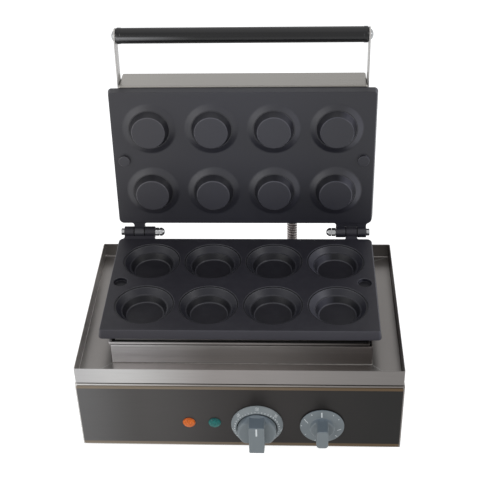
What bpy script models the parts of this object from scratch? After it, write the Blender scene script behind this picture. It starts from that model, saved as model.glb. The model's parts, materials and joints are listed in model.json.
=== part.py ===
"""Countertop egg tart maker, standing open.

A folded steel base with a graphite control panel carries a shallow drip tray. A raised housing on the tray
holds the lower plate with its cups. The upper plate, with a stud for each cup, swings on two bolts behind it,
under a steel cover with a round grip on two flat arms. A ribbed metal hose feeds the upper heater.

Lengths are metres. X runs to the right, Y away from the user and Z up. The origin is the middle of the whole
object's outline on the table. The lid's pieces are drawn closed, under an empty on the hinge axis that opens them.
"""

import math

import bmesh
import bpy
from mathutils import Matrix, Vector

# Clearances, sheet and general rounding
GAP = 0.0003
OVERRUN = 0.004
SHEET = 0.0012
THIN_SHEET = 0.001
SINK = 0.002
MERGE_DISTANCE = 0.00001
SHARP_ANGLE = math.radians(35)

# Cups of the lower plate, and the studs that press into them
CUP_COLUMNS = 4
CUP_ROWS = 2
CUP_RIM_RADIUS = 0.0385
CUP_DEPTH = 0.0171
CUP_STEP_DEPTH = 0.0012
CUP_STEP_WIDTH = 0.0025
CUP_FLARE_WIDTH = 0.0075
CUP_FLARE_DEPTH = 0.0063
CUP_WALL_LEAN = 0.0061
CUP_FILLET = 0.0022
CUP_WEB_X = 0.00586
CUP_WEB_Y = 0.0164
CUP_EDGE_X = 0.0126
CUP_EDGE_Y = 0.01305
CAST_WALL = 0.003
STUD_RIM_CLEARANCE = 0.0032
STUD_TIP_CLEARANCE = 0.0005
STUD_END_CLEARANCE = 0.0022
STUD_SHOULDER_HEIGHT = 0.0035
STUD_SHOULDER_WIDTH = 0.0088
STUD_FILLET = 0.0016
ROUND_STEPS = 24
STUD_STEPS = 20
SHELL_STEPS = 16
FLARE_STEPS = 1

# Plates
LOWER_PLATE_THICKNESS = 0.0128
UPPER_PLATE_THICKNESS = 0.0118
FACE_GAP = 0.001
FACE_THICKNESS = 0.0075
PLATE_DRAFT = 0.0021
PLATE_FRONT_CORNER = 0.0035
PLATE_BACK_CORNER = 0.0066
PLATE_EDGE_ROUND = 0.0008
LOWER_POCKET_INSET_X = 0.0184
UPPER_POCKET_INSET_X = 0.0254
POCKET_INSET_Y = 0.0085
POCKET_CORNER = 0.006
PLATE_PAD_RADIUS = 0.004
STANDOFF_RADIUS = 0.005
GUIDE_PIN_RADIUS = 0.00775
GUIDE_PIN_HEIGHT = 0.004
GUIDE_HOLE_CLEARANCE = 0.00125
GUIDE_HOLE_DEPTH = 0.005
GUIDE_CHAMFER = 0.0008
GUIDE_INSET = 0.0144

# Raised housing under the lower plate
NECK_INSET_X = 0.0086
NECK_FRONT_STEP = 0.0085
NECK_BACK_STEP = 0.0043
NECK_HEIGHT = 0.0335
NECK_ROLL = 0.0045
CUP_SHELL_ROOM = 0.001
NECK_SLOT = 0.0008

# Drip tray
GUTTER_SIDE = 0.03585
GUTTER_FRONT = 0.0335
GUTTER_BACK = 0.0179
TRAY_HEIGHT = 0.0224
TRAY_LIFT = 0.002
TRAY_CORNER = 0.002

# Base box and its feet
BASE_HEIGHT = 0.1055
BASE_SIDE_STEP = 0.00115
BASE_FRONT_STEP = 0.0012
BASE_FOLD = 0.0015
BASE_LAND_INSET = 0.009
PANEL_THICKNESS = 0.0005
PANEL_INSET = 0.002
PANEL_CORNER = 0.002
FOOT_HEIGHT = 0.010
FOOT_TOP_RADIUS = 0.012
FOOT_BOTTOM_RADIUS = 0.0095
FOOT_ROUND = 0.0012
FOOT_INSET = 0.032
VENT_WIDTH = 0.004
VENT_LENGTH = 0.045
VENT_PITCH = 0.012
VENT_COUNT = 8
BACK_VENT_HEIGHT = 0.030

# Hinges: one bolt a side, with the barrels of both plates along it
OPEN_ANGLE = math.radians(94.71)
HINGE_BEHIND_PLATE = 0.0141
HINGE_ABOVE_FACE = 0.00157
BARREL_RADIUS = 0.0075
BOLT_RADIUS = 0.003
BOLT_HEAD_RADIUS = 0.005
BOLT_HEAD_LENGTH = 0.0044
BOLT_SOCKET_RADIUS = 0.0028
BOLT_SOCKET_DEPTH = 0.002
NUT_CORNER_RADIUS = 0.0058
NUT_LENGTH = 0.0054
CAP_NUT_HEX_LENGTH = 0.0042
CAP_NUT_LENGTH = 0.0074
CAP_NUT_DOME_RADIUS = 0.0048
CAP_NUT_WALL = 0.0014
BARREL_STEPS = 20
WEB_STEP = 0.0006
BRIDGE_CLEARANCE = 0.0006
UPPER_BRIDGE_STEP = 0.0022
LEFT_HINGE_INSET = 0.0062
LEFT_BARREL_OUTER = 0.0132
LEFT_BARREL_MIDDLE = 0.0151
LEFT_BARREL_INNER = 0.0139
LEFT_BARREL_SPACE = 0.0004
RIGHT_HINGE_INSET = 0.0069
RIGHT_BARREL_OUTER = 0.012
RIGHT_BARREL_MIDDLE = 0.0162
RIGHT_BARREL_INNER = 0.0116
RIGHT_OUTER_SPACE = 0.0004
RIGHT_INNER_SPACE = 0.0017

# Upper cover, arms and grip
COVER_INSET_X = 0.0119
COVER_FRONT_STEP = 0.0042
COVER_BACK_STEP = 0.0043
COVER_HEIGHT = 0.0457
COVER_ROUND = 0.0025
COVER_FLANGE = 0.012
ARM_WIDTH = 0.020
ARM_THICKNESS = 0.002
ARM_OVERLAP = 0.070
ARM_SCREW_FIRST = 0.018
ARM_SCREW_PITCH = 0.040
ARM_SCREW_RADIUS = 0.002
ARM_SCREW_HEAD_RADIUS = 0.0042
ARM_SCREW_HEAD_HEIGHT = 0.0022
ARM_SCREW_GRIP = 0.006
GRIP_REACH = 0.0621
GRIP_ABOVE_PLATE = 0.0205
GRIP_RADIUS = 0.0108
GRIP_CHAMFER = 0.0015
GRIP_ROD_RADIUS = 0.004
GRIP_SCREW_RADIUS = 0.002
GRIP_SCREW_HEAD_RADIUS = 0.0069
GRIP_SCREW_HEAD_HEIGHT = 0.0034
GRIP_SCREW_GRIP = 0.009

# Controls, from the middle of the panel and from its lower edge
LAMP_ORANGE_X = -0.0646
LAMP_GREEN_X = -0.0320
LAMP_HEIGHT = 0.042
LAMP_LENS_RADIUS = 0.008
LAMP_LENS_HEIGHT = 0.0038
LAMP_LENS_EDGE = 0.0014
LAMP_BODY_RADIUS = 0.0062
LAMP_BODY_LENGTH = 0.028
LAMP_FACETS = 12
TEMP_X = 0.0219
TEMP_HEIGHT = 0.0395
SCALE_RING_RADIUS = 0.033
SCALE_RING_EDGE = 0.0013
SCALE_RING_HEIGHT = 0.0082
SCALE_RING_LIP = 0.001
SCALE_RING_WALL = 0.0012
TEMP_KNOB_RADIUS = 0.0248
TEMP_KNOB_BACK = 0.0016
TEMP_KNOB_FRONT = 0.017
TEMP_KNOB_ROUND = 0.0034
TEMP_WING_REACH = 0.0294
TEMP_WING_LENGTH = 0.0446
TEMP_WING_WIDTH = 0.0212
TEMP_WING_CORNER = 0.0018
TIMER_X = 0.1042
TIMER_HEIGHT = 0.039
TIMER_SKIRT_RADIUS = 0.028
TIMER_SKIRT_BACK = 0.0012
TIMER_SKIRT_EDGE = 0.0012
TIMER_SKIRT_RISE = 0.0012
TIMER_HUB_RADIUS = 0.0162
TIMER_HUB_FRONT = 0.009
TIMER_HUB_LEAN = 0.0014
TIMER_WING_REACH = 0.0265
TIMER_WING_LENGTH = 0.0298
TIMER_WING_WIDTH = 0.0168
TIMER_WING_CORNER = 0.0048
WING_TAPER = 0.0011
WING_END_TAPER = 0.0003
WING_ROUND = 0.001
SHAFT_RADIUS = 0.003
SHAFT_HOLE_RADIUS = 0.006
SHAFT_GRIP = 0.009
KNOB_BORE_END = 0.009
CONTROL_PLATE_THICKNESS = 0.0016
THERMOSTAT_SIZE = Vector((0.036, 0.034, 0.040))
TIMER_BODY_SIZE = Vector((0.042, 0.038, 0.044))
CONTROL_FLANGE = 0.006

# Heaters, their reflectors and the sensor
ELEMENT_RADIUS = 0.00325
ELEMENT_BEND = 0.012
ELEMENT_TAIL = 0.0135
ELEMENT_TERMINAL_ROOM = 0.0035
REFLECTOR_DROP = 0.002
REFLECTOR_INSET = 0.012
BULB_RADIUS = 0.003
BULB_LENGTH = 0.052
BULB_START = 0.012
CAPILLARY_RADIUS = 0.0011
CAPILLARY_BEND = 0.010
CAPILLARY_ROOM = 0.003

# Wiring: mains gland and terminal block in the base, ribbed hose to the lid
TERMINAL_SIZE = Vector((0.048, 0.022, 0.020))
TERMINAL_WAYS = 4
TERMINAL_SLOT = 0.005
TERMINAL_X = -0.100
TERMINAL_SETBACK = 0.060
CORD_GLAND_X = -0.150
CORD_GLAND_HEIGHT = 0.030
CORD_GLAND_RADIUS = 0.009
CORD_GLAND_FLANGE = 0.0035
CORD_GLAND_REACH = 0.018
CORD_BORE = 0.004
HOSE_X = 0.0658
HOSE_BASE_HEIGHT = 0.038
HOSE_LID_RISE = 0.0223
HOSE_RADIUS = 0.00725
HOSE_RIB_DEPTH = 0.0011
HOSE_RIB_PITCH = 0.0039
HOSE_BORE_RADIUS = 0.0046
HOSE_STRAIGHT = 0.0148
HOSE_BASE_PULL = 0.062
HOSE_LID_PULL = 0.046
HOSE_BORE_STEP = 0.0065
HOSE_SAMPLES = 400
GLAND_CORNER_RADIUS = 0.0115
GLAND_HEX_LENGTH = 0.006
GLAND_COLLAR_RADIUS = 0.0088
GLAND_COLLAR_LENGTH = 0.006
GLAND_STUB_RADIUS = 0.007
GLAND_STUB_LENGTH = 0.008

# Sizes that follow from those above, front to back measured from the panel's face
CUP_PITCH_X = 2 * CUP_RIM_RADIUS + CUP_WEB_X
CUP_PITCH_Y = 2 * CUP_RIM_RADIUS + CUP_WEB_Y
CUP_THROAT_RADIUS = CUP_RIM_RADIUS - CUP_STEP_WIDTH - CUP_FLARE_WIDTH
CUP_FLOOR_RADIUS = CUP_THROAT_RADIUS - CUP_WALL_LEAN
GRID_X = (CUP_COLUMNS - 1) * CUP_PITCH_X
GRID_Y = (CUP_ROWS - 1) * CUP_PITCH_Y
PLATE_WIDTH = GRID_X + 2 * (CUP_RIM_RADIUS + CUP_EDGE_X)
PLATE_DEPTH = GRID_Y + 2 * (CUP_RIM_RADIUS + CUP_EDGE_Y)
NECK_WIDTH = PLATE_WIDTH - 2 * NECK_INSET_X
NECK_DEPTH = PLATE_DEPTH + NECK_FRONT_STEP + NECK_BACK_STEP
TRAY_WIDTH = NECK_WIDTH + 2 * (GUTTER_SIDE + SHEET)
TRAY_DEPTH = NECK_DEPTH + GUTTER_FRONT + GUTTER_BACK + 2 * SHEET
BASE_WIDTH = TRAY_WIDTH + 2 * BASE_SIDE_STEP
COVER_WIDTH = PLATE_WIDTH - 2 * COVER_INSET_X
SHELL_STEP = PANEL_THICKNESS + GAP
TRAY_STEP = SHELL_STEP + BASE_FRONT_STEP
PLATE_STEP = TRAY_STEP + SHEET + GUTTER_FRONT + NECK_FRONT_STEP
HINGE_STEP = PLATE_STEP + PLATE_DEPTH + HINGE_BEHIND_PLATE

# Heights
BASE_BOTTOM = FOOT_HEIGHT
BASE_TOP = BASE_BOTTOM + BASE_HEIGHT
TRAY_BOTTOM = BASE_TOP + TRAY_LIFT
TRAY_FLOOR = TRAY_BOTTOM + SHEET
NECK_BOTTOM = TRAY_FLOOR + GAP
NECK_TOP = NECK_BOTTOM + NECK_HEIGHT
LOWER_BACK = NECK_TOP + NECK_SLOT
LOWER_FACE = LOWER_BACK + LOWER_PLATE_THICKNESS
UPPER_FACE = LOWER_FACE + FACE_GAP
UPPER_BACK = UPPER_FACE + UPPER_PLATE_THICKNESS
HINGE_Z = LOWER_FACE + HINGE_ABOVE_FACE
COVER_BOTTOM = UPPER_BACK + GAP
COVER_TOP = COVER_BOTTOM + COVER_HEIGHT
GRIP_Z = UPPER_BACK + GRIP_ABOVE_PLATE
UPPER_REFLECTOR = UPPER_FACE + FACE_THICKNESS + 2 * (GAP + ELEMENT_RADIUS) + REFLECTOR_DROP

# The open cover's far edge and the temperature knob are the object's ends, which centre it on the origin
OPEN_EDGE_BACK = (HINGE_STEP - PLATE_STEP + COVER_FRONT_STEP) * -math.cos(OPEN_ANGLE)
OPEN_EDGE_RISE = (COVER_TOP - HINGE_Z) * math.sin(OPEN_ANGLE)
REAR_STEP = HINGE_STEP + OPEN_EDGE_BACK + OPEN_EDGE_RISE
PANEL_Y = (TEMP_WING_REACH - REAR_STEP) / 2
SHELL_FRONT = PANEL_Y + SHELL_STEP
TRAY_FRONT = PANEL_Y + TRAY_STEP
TRAY_BACK = TRAY_FRONT + TRAY_DEPTH
SHELL_BACK = TRAY_BACK + BASE_SIDE_STEP
NECK_FRONT = TRAY_FRONT + SHEET + GUTTER_FRONT
NECK_BACK = NECK_FRONT + NECK_DEPTH
PLATE_FRONT = PANEL_Y + PLATE_STEP
PLATE_BACK = PLATE_FRONT + PLATE_DEPTH
PLATE_MIDDLE = (PLATE_FRONT + PLATE_BACK) / 2
HINGE_Y = PANEL_Y + HINGE_STEP
COVER_FRONT = PLATE_FRONT - COVER_FRONT_STEP
COVER_BACK = PLATE_BACK + COVER_BACK_STEP
COVER_SIDE = COVER_WIDTH / 2
GRIP_Y = COVER_FRONT - GRIP_REACH
INSIDE_FRONT = SHELL_FRONT + SHEET + GAP

TO_FRONT = (math.radians(90), 0, 0)
TO_BACK = (math.radians(-90), 0, 0)
TO_RIGHT = (0, math.radians(90), 0)
TO_LEFT = (0, math.radians(-90), 0)
UPRIGHT = (0, 0, 0)


def clear_scene():
    for obj in list(bpy.data.objects):
        bpy.data.objects.remove(obj, do_unlink=True)


clear_scene()
PARTS = bpy.data.collections.new("egg_tart_maker")
CUTTERS = bpy.data.collections.new("cutters")
bpy.context.scene.collection.children.link(PARTS)
bpy.context.scene.collection.children.link(CUTTERS)

LID_PIVOT = bpy.data.objects.new("lid_pivot", None)
LID_PIVOT.location = (0, HINGE_Y, HINGE_Z)
LID_PIVOT.rotation_euler = (-OPEN_ANGLE, 0, 0)
PARTS.objects.link(LID_PIVOT)


def paint(name, colour, roughness, metallic):
    material = bpy.data.materials.new(name)
    material.use_nodes = True
    shader = material.node_tree.nodes["Principled BSDF"]
    shader.inputs["Base Color"].default_value = (*colour, 1)
    shader.inputs["Roughness"].default_value = roughness
    shader.inputs["Metallic"].default_value = metallic
    material.diffuse_color = (*colour, 1)
    return material


STEEL = paint("brushed steel", (0.55, 0.54, 0.52), 0.35, 1)
DARK_STEEL = paint("galvanised steel", (0.32, 0.32, 0.32), 0.5, 1)
CAST = paint("coated cast aluminium", (0.055, 0.055, 0.06), 0.55, 0.3)
GRAPHITE = paint("graphite panel", (0.09, 0.085, 0.085), 0.4, 0.4)
BRIGHT = paint("plated steel", (0.7, 0.68, 0.64), 0.22, 1)
BLACK = paint("black plastic", (0.03, 0.03, 0.032), 0.4, 0)
GREY = paint("grey knob plastic", (0.2, 0.23, 0.25), 0.45, 0)
ORANGE = paint("orange lens", (0.85, 0.18, 0.03), 0.2, 0)
GREEN = paint("green lens", (0.02, 0.3, 0.2), 0.2, 0)
WHITE = paint("white ceramic", (0.75, 0.74, 0.7), 0.6, 0)
RUBBER = paint("black rubber", (0.02, 0.02, 0.02), 0.8, 0)


def add(name, bm, material, lid=False):
    """Make an object of this mesh: a part if it has a material, or else a hidden cutter."""
    mesh = bpy.data.meshes.new(name)
    bm.to_mesh(mesh)
    bm.free()
    obj = bpy.data.objects.new(name, mesh)
    if material:
        mesh.materials.append(material)
        PARTS.objects.link(obj)
    else:
        obj.hide_render = True
        obj.display_type = "WIRE"
        CUTTERS.objects.link(obj)
    if lid:
        obj.parent = LID_PIVOT
        obj.matrix_parent_inverse = Matrix.Translation(-LID_PIVOT.location)
    return obj


def cube(low, high):
    """A box between two corners, as a bmesh."""
    bm = bmesh.new()
    bmesh.ops.create_cube(bm, size=1)
    bmesh.ops.scale(bm, vec=Vector(high) - Vector(low), verts=bm.verts)
    bmesh.ops.translate(bm, vec=(Vector(low) + Vector(high)) / 2, verts=bm.verts)
    return bm


def box(name, low, high, material=None, lid=False):
    return add(name, cube(low, high), material, lid)


def is_upright(edge):
    along = edge.verts[0].co - edge.verts[1].co
    return abs(along.normalized().z) > 0.9


def edges_at(bm, height):
    """The edges that lie flat at this height."""
    return [e for e in bm.edges if all(abs(v.co.z - height) < MERGE_DISTANCE for v in e.verts)]


def round_edges(bm, edges, radius, steps):
    bmesh.ops.bevel(bm, geom=edges, offset=radius, segments=steps, profile=0.5, affect="EDGES")


def turned(name, profile, place, turn, steps, material=None, ring=False, lid=False):
    """Turn a profile of (radius, height) points about its own Z. It runs from the top down the outer side,
    and a ring's goes on up the inner side."""
    bm = bmesh.new()
    verts = [bm.verts.new((radius, 0, height)) for radius, height in profile]
    pairs = list(zip(verts, verts[1:]))
    if ring:
        pairs.append((verts[-1], verts[0]))
    for first, second in pairs:
        bm.edges.new((first, second))
    obj = add(name, bm, material, lid)
    obj.location = place
    obj.rotation_euler = turn
    screw = obj.modifiers.new("Turn", "SCREW")
    screw.steps = steps
    screw.render_steps = steps
    screw.use_merge_vertices = True
    screw.merge_threshold = MERGE_DISTANCE
    return obj


def rod(name, radius, length, place, turn, steps, material=None, lid=False):
    """A round bar from its place along its turned Z."""
    bm = bmesh.new()
    bmesh.ops.create_cone(bm, cap_ends=True, segments=steps, radius1=radius, radius2=radius, depth=length)
    bmesh.ops.translate(bm, vec=(0, 0, length / 2), verts=bm.verts)
    obj = add(name, bm, material, lid)
    obj.location = place
    obj.rotation_euler = turn
    return obj


def change(obj, tool, operation):
    modifier = obj.modifiers.new(tool.name, "BOOLEAN")
    modifier.operation = operation
    modifier.object = tool


def cut(obj, *tools):
    for tool in tools:
        change(obj, tool, "DIFFERENCE")


def join(obj, *tools):
    for tool in tools:
        change(obj, tool, "UNION")


def repeat(obj, count, step):
    array = obj.modifiers.new("Repeat", "ARRAY")
    array.count = count
    array.use_relative_offset = False
    array.use_constant_offset = True
    array.constant_offset_displace = step
    return obj


def over_grid(obj):
    """Repeat a tool that stands on the first cup's place over the whole grid of cups."""
    repeat(obj, CUP_COLUMNS, (CUP_PITCH_X, 0, 0))
    return repeat(obj, CUP_ROWS, (0, CUP_PITCH_Y, 0))


def tube(name, points, radius, material=None, radii=None, lid=False, resolution=2):
    """A round bar along points, as a mesh with welded ends. Radii are shares of the radius."""
    curve = bpy.data.curves.new(name, "CURVE")
    curve.dimensions = "3D"
    curve.bevel_depth = radius
    curve.bevel_resolution = resolution
    curve.use_fill_caps = True
    spline = curve.splines.new("POLY")
    spline.points.add(len(points) - 1)
    for place, point in enumerate(points):
        spline.points[place].co = (*point, 1)
        spline.points[place].radius = radii[place] if radii else 1
    guide = bpy.data.objects.new(name + "_guide", curve)
    CUTTERS.objects.link(guide)
    graph = bpy.context.evaluated_depsgraph_get()
    bm = bmesh.new()
    bm.from_mesh(bpy.data.meshes.new_from_object(guide.evaluated_get(graph)))
    bmesh.ops.remove_doubles(bm, verts=bm.verts, dist=MERGE_DISTANCE)
    bmesh.ops.recalc_face_normals(bm, faces=bm.faces)
    bpy.data.objects.remove(guide, do_unlink=True)
    return add(name, bm, material, lid)


def rounded_route(corners, radius, steps=4):
    """The route through corners with each inner corner turned as an arc."""
    corners = [Vector(corner) for corner in corners]
    points = [corners[0]]
    for before, corner, after in zip(corners, corners[1:], corners[2:]):
        arrive = (corner - before).normalized()
        leave = (after - corner).normalized()
        angle = arrive.angle(leave)
        reach = radius * math.tan(angle / 2)
        centre = corner + (leave - arrive).normalized() * radius / math.cos(angle / 2)
        start = corner - arrive * reach - centre
        axis = arrive.cross(leave)
        for step in range(steps + 1):
            points.append(centre + Matrix.Rotation(angle * step / steps, 3, axis) @ start)
    points.append(corners[-1])
    return points


def cup_profile():
    """The hollow of a cup: a stepped rim, a flare that falls on a quarter ellipse, then a steep wall."""
    rim_floor = -CUP_STEP_DEPTH
    points = [(0, OVERRUN), (CUP_RIM_RADIUS, OVERRUN), (CUP_RIM_RADIUS, rim_floor)]
    for step in range(FLARE_STEPS + 1):
        angle = math.radians(90) * step / (FLARE_STEPS + 0.5)
        width = CUP_FLARE_WIDTH * math.sin(angle)
        fall = CUP_FLARE_DEPTH * (1 - math.cos(angle))
        points.append((CUP_THROAT_RADIUS + CUP_FLARE_WIDTH - width, rim_floor - fall))
    points.append((CUP_THROAT_RADIUS, rim_floor - CUP_FLARE_DEPTH))
    points.append((CUP_FLOOR_RADIUS, CUP_FILLET - CUP_DEPTH))
    points.append((CUP_FLOOR_RADIUS - CUP_FILLET, -CUP_DEPTH))
    points.append((0, -CUP_DEPTH))
    return points


def slab(name, face, back, material, lid):
    """A drafted plate: its face has the plate's size, and its back is wider by the draft."""
    half = PLATE_WIDTH / 2
    bm = cube((-half, PLATE_FRONT, min(face, back)), (half, PLATE_BACK, max(face, back)))
    for vert in bm.verts:
        if abs(vert.co.z - back) < MERGE_DISTANCE:
            vert.co.x += math.copysign(PLATE_DRAFT, vert.co.x)
            vert.co.y += math.copysign(PLATE_DRAFT, vert.co.y - PLATE_MIDDLE)
    corners = [edge for edge in bm.edges if is_upright(edge)]
    front = [e for e in corners if e.verts[0].co.y < PLATE_MIDDLE]
    round_edges(bm, front, PLATE_FRONT_CORNER, 2)
    rear = [e for e in bm.edges if is_upright(e) and min(v.co.y for v in e.verts) > PLATE_MIDDLE]
    round_edges(bm, rear, PLATE_BACK_CORNER, 3)
    round_edges(bm, edges_at(bm, face), PLATE_EDGE_ROUND, 1)
    return add(name, bm, material, lid)


def pocket(name, inset_x, low, high, lid):
    half = PLATE_WIDTH / 2 - inset_x
    front = PLATE_FRONT + POCKET_INSET_Y
    back = PLATE_BACK - POCKET_INSET_Y
    bm = cube((-half, front, low), (half, back, high))
    round_edges(bm, [e for e in bm.edges if is_upright(e)], POCKET_CORNER, 2)
    return add(name, bm, None, lid)


def barrels(side):
    """The stack along one hinge bolt, from the outside in: each item is (owner, outer x, inner x)."""
    if side < 0:
        lengths = (LEFT_BARREL_OUTER, LEFT_BARREL_MIDDLE, LEFT_BARREL_INNER)
        spaces = (LEFT_BARREL_SPACE, LEFT_BARREL_SPACE)
        owners = ("lower", "upper", "lower")
        start = PLATE_WIDTH / 2 - LEFT_HINGE_INSET
    else:
        lengths = (RIGHT_BARREL_OUTER, RIGHT_BARREL_MIDDLE, RIGHT_BARREL_INNER)
        spaces = (RIGHT_OUTER_SPACE, RIGHT_INNER_SPACE)
        owners = ("upper", "lower", "upper")
        start = PLATE_WIDTH / 2 - RIGHT_HINGE_INSET
    stack = []
    for owner, length, space in zip(owners, lengths, (*spaces, 0)):
        stack.append((owner, start, start - length))
        start -= length + space
    return stack


def add_bridge(plate, owner, side, lid):
    """The bar between a plate's two outer barrels, just clear of the barrel that turns between them."""
    stack = barrels(side)
    outer = stack[0][1] - 2 * WEB_STEP
    inner = stack[-1][2] + 2 * WEB_STEP
    low = HINGE_Z - BARREL_RADIUS + GAP + WEB_STEP
    high = LOWER_FACE - PLATE_EDGE_ROUND - WEB_STEP
    if owner == "upper":
        low = UPPER_FACE + UPPER_BRIDGE_STEP
        high = HINGE_Z + BARREL_RADIUS - GAP - WEB_STEP
    near = (min(side * outer, side * inner), PLATE_BACK - 2 * SINK, low)
    far = (max(side * outer, side * inner), HINGE_Y - BARREL_RADIUS - BRIDGE_CLEARANCE, high)
    join(plate, box(f"{owner}_bridge_{side}", near, far, None, lid))


def add_barrels(plate, owner, lid):
    """Hinge barrels on their webs, joined to a plate and bored for the bolts."""
    for side in (-1, 1):
        for number, (holder, outer, inner) in enumerate(barrels(side)):
            if holder != owner:
                continue
            name = f"{owner}_barrel_{side}_{number}"
            start = min(side * outer, side * inner)
            length = outer - inner
            tool = rod(name, BARREL_RADIUS, length, (start, HINGE_Y, HINGE_Z), TO_RIGHT, BARREL_STEPS, None, lid)
            low = HINGE_Z - BARREL_RADIUS + GAP
            high = LOWER_FACE - PLATE_EDGE_ROUND
            if owner == "upper":
                low = UPPER_FACE + PLATE_EDGE_ROUND
                high = HINGE_Z + BARREL_RADIUS - GAP
            web_low = (start + WEB_STEP, PLATE_BACK - SINK, low)
            web_high = (start + length - WEB_STEP, HINGE_Y, high)
            web = box(name + "_web", web_low, web_high, None, lid)
            join(tool, web)
            join(plate, tool)
        if barrels(side)[0][0] == owner:
            add_bridge(plate, owner, side, lid)
        far = barrels(side)[0][1] + OVERRUN
        near = barrels(side)[-1][2] - OVERRUN
        place = (min(side * far, side * near), HINGE_Y, HINGE_Z)
        bore_name = f"{owner}_bolt_hole_{side}"
        cut(plate, rod(bore_name, BOLT_RADIUS + GAP, far - near, place, TO_RIGHT, 16, None, lid))


def first_cup(height):
    return (-GRID_X / 2, PLATE_MIDDLE - GRID_Y / 2, height)


def standoff_places():
    """Between the cups of the first, middle and last gaps of the grid, clear of the heater."""
    return (-GRID_X / 2, 0, GRID_X / 2)


def make_lower_plate():
    plate = slab("lower_plate", LOWER_FACE, LOWER_BACK, CAST, False)
    ceiling = LOWER_FACE - FACE_THICKNESS
    cut(plate, pocket("lower_pocket", LOWER_POCKET_INSET_X, LOWER_BACK - OVERRUN, ceiling, False))
    outer = CUP_THROAT_RADIUS + CAST_WALL
    profile = [
        (0, -FACE_THICKNESS + SINK),
        (outer, -FACE_THICKNESS + SINK),
        (outer, -CUP_STEP_DEPTH - CUP_FLARE_DEPTH - CAST_WALL / 2),
        (CUP_FLOOR_RADIUS + CAST_WALL, -CUP_DEPTH),
        (CUP_FLOOR_RADIUS, -CUP_DEPTH - CAST_WALL),
        (0, -CUP_DEPTH - CAST_WALL),
    ]
    join(plate, over_grid(turned("cup_shells", profile, first_cup(LOWER_FACE), UPRIGHT, SHELL_STEPS)))
    depth = CUP_DEPTH + CAST_WALL + REFLECTOR_DROP - FACE_THICKNESS + SINK
    for number, x in enumerate(standoff_places()):
        place = (x, PLATE_MIDDLE, ceiling + SINK - depth)
        join(plate, rod(f"lower_standoff_{number}", STANDOFF_RADIUS, depth, place, UPRIGHT, 12))
    pad_length = SINK + NECK_SLOT - GAP
    for number, x in enumerate((-GRID_X / 2, GRID_X / 2)):
        for y in (PLATE_FRONT + POCKET_INSET_Y / 2, PLATE_BACK - POCKET_INSET_Y / 2):
            name = f"seat_pad_{number}_{'front' if y < PLATE_MIDDLE else 'back'}"
            join(plate, rod(name, PLATE_PAD_RADIUS - GAP, pad_length, (x, y, NECK_TOP + GAP), UPRIGHT, 12))
    add_barrels(plate, "lower", False)
    cut(plate, over_grid(turned("cup_hollows", cup_profile(), first_cup(LOWER_FACE), UPRIGHT, ROUND_STEPS)))
    radius = GUIDE_PIN_RADIUS + GUIDE_HOLE_CLEARANCE
    hole = [
        (0, OVERRUN),
        (radius + GUIDE_CHAMFER + OVERRUN, OVERRUN),
        (radius, -GUIDE_CHAMFER),
        (radius, -GUIDE_HOLE_DEPTH),
        (0, -GUIDE_HOLE_DEPTH),
    ]
    for side in (-1, 1):
        place = (side * (PLATE_WIDTH / 2 - GUIDE_INSET), PLATE_MIDDLE, LOWER_FACE)
        cut(plate, turned(f"guide_hole_{side}", hole, place, UPRIGHT, 20))


def make_upper_plate():
    plate = slab("upper_plate", UPPER_FACE, UPPER_BACK, CAST, True)
    floor = UPPER_FACE + FACE_THICKNESS
    cut(plate, pocket("upper_pocket", UPPER_POCKET_INSET_X, floor, UPPER_BACK + OVERRUN, True))
    shoulder = CUP_RIM_RADIUS - STUD_RIM_CLEARANCE
    neck = shoulder - STUD_SHOULDER_WIDTH
    tip = CUP_FLOOR_RADIUS - STUD_TIP_CLEARANCE
    height = CUP_DEPTH - STUD_END_CLEARANCE
    profile = [
        (0, SINK),
        (shoulder, SINK),
        (shoulder, 0),
        (neck + STUD_SHOULDER_WIDTH / 2, -STUD_SHOULDER_HEIGHT / 2),
        (neck, -STUD_SHOULDER_HEIGHT),
        (tip, -height + STUD_FILLET),
        (tip - STUD_FILLET, -height),
        (0, -height),
    ]
    join(plate, over_grid(turned("studs", profile, first_cup(UPPER_FACE), UPRIGHT, STUD_STEPS, lid=True)))
    length = UPPER_REFLECTOR - GAP - floor + SINK
    for number, x in enumerate(standoff_places()):
        place = (x, PLATE_MIDDLE, floor - SINK)
        join(plate, rod(f"upper_standoff_{number}", STANDOFF_RADIUS, length, place, UPRIGHT, 12, None, True))
    pin = [
        (0, SINK),
        (GUIDE_PIN_RADIUS, SINK),
        (GUIDE_PIN_RADIUS, GUIDE_CHAMFER - GUIDE_PIN_HEIGHT),
        (GUIDE_PIN_RADIUS - GUIDE_CHAMFER, -GUIDE_PIN_HEIGHT),
        (0, -GUIDE_PIN_HEIGHT),
    ]
    for side in (-1, 1):
        place = (side * (PLATE_WIDTH / 2 - GUIDE_INSET), PLATE_MIDDLE, UPPER_FACE)
        join(plate, turned(f"guide_pin_{side}", pin, place, UPRIGHT, 20, lid=True))
    add_barrels(plate, "upper", True)


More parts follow.
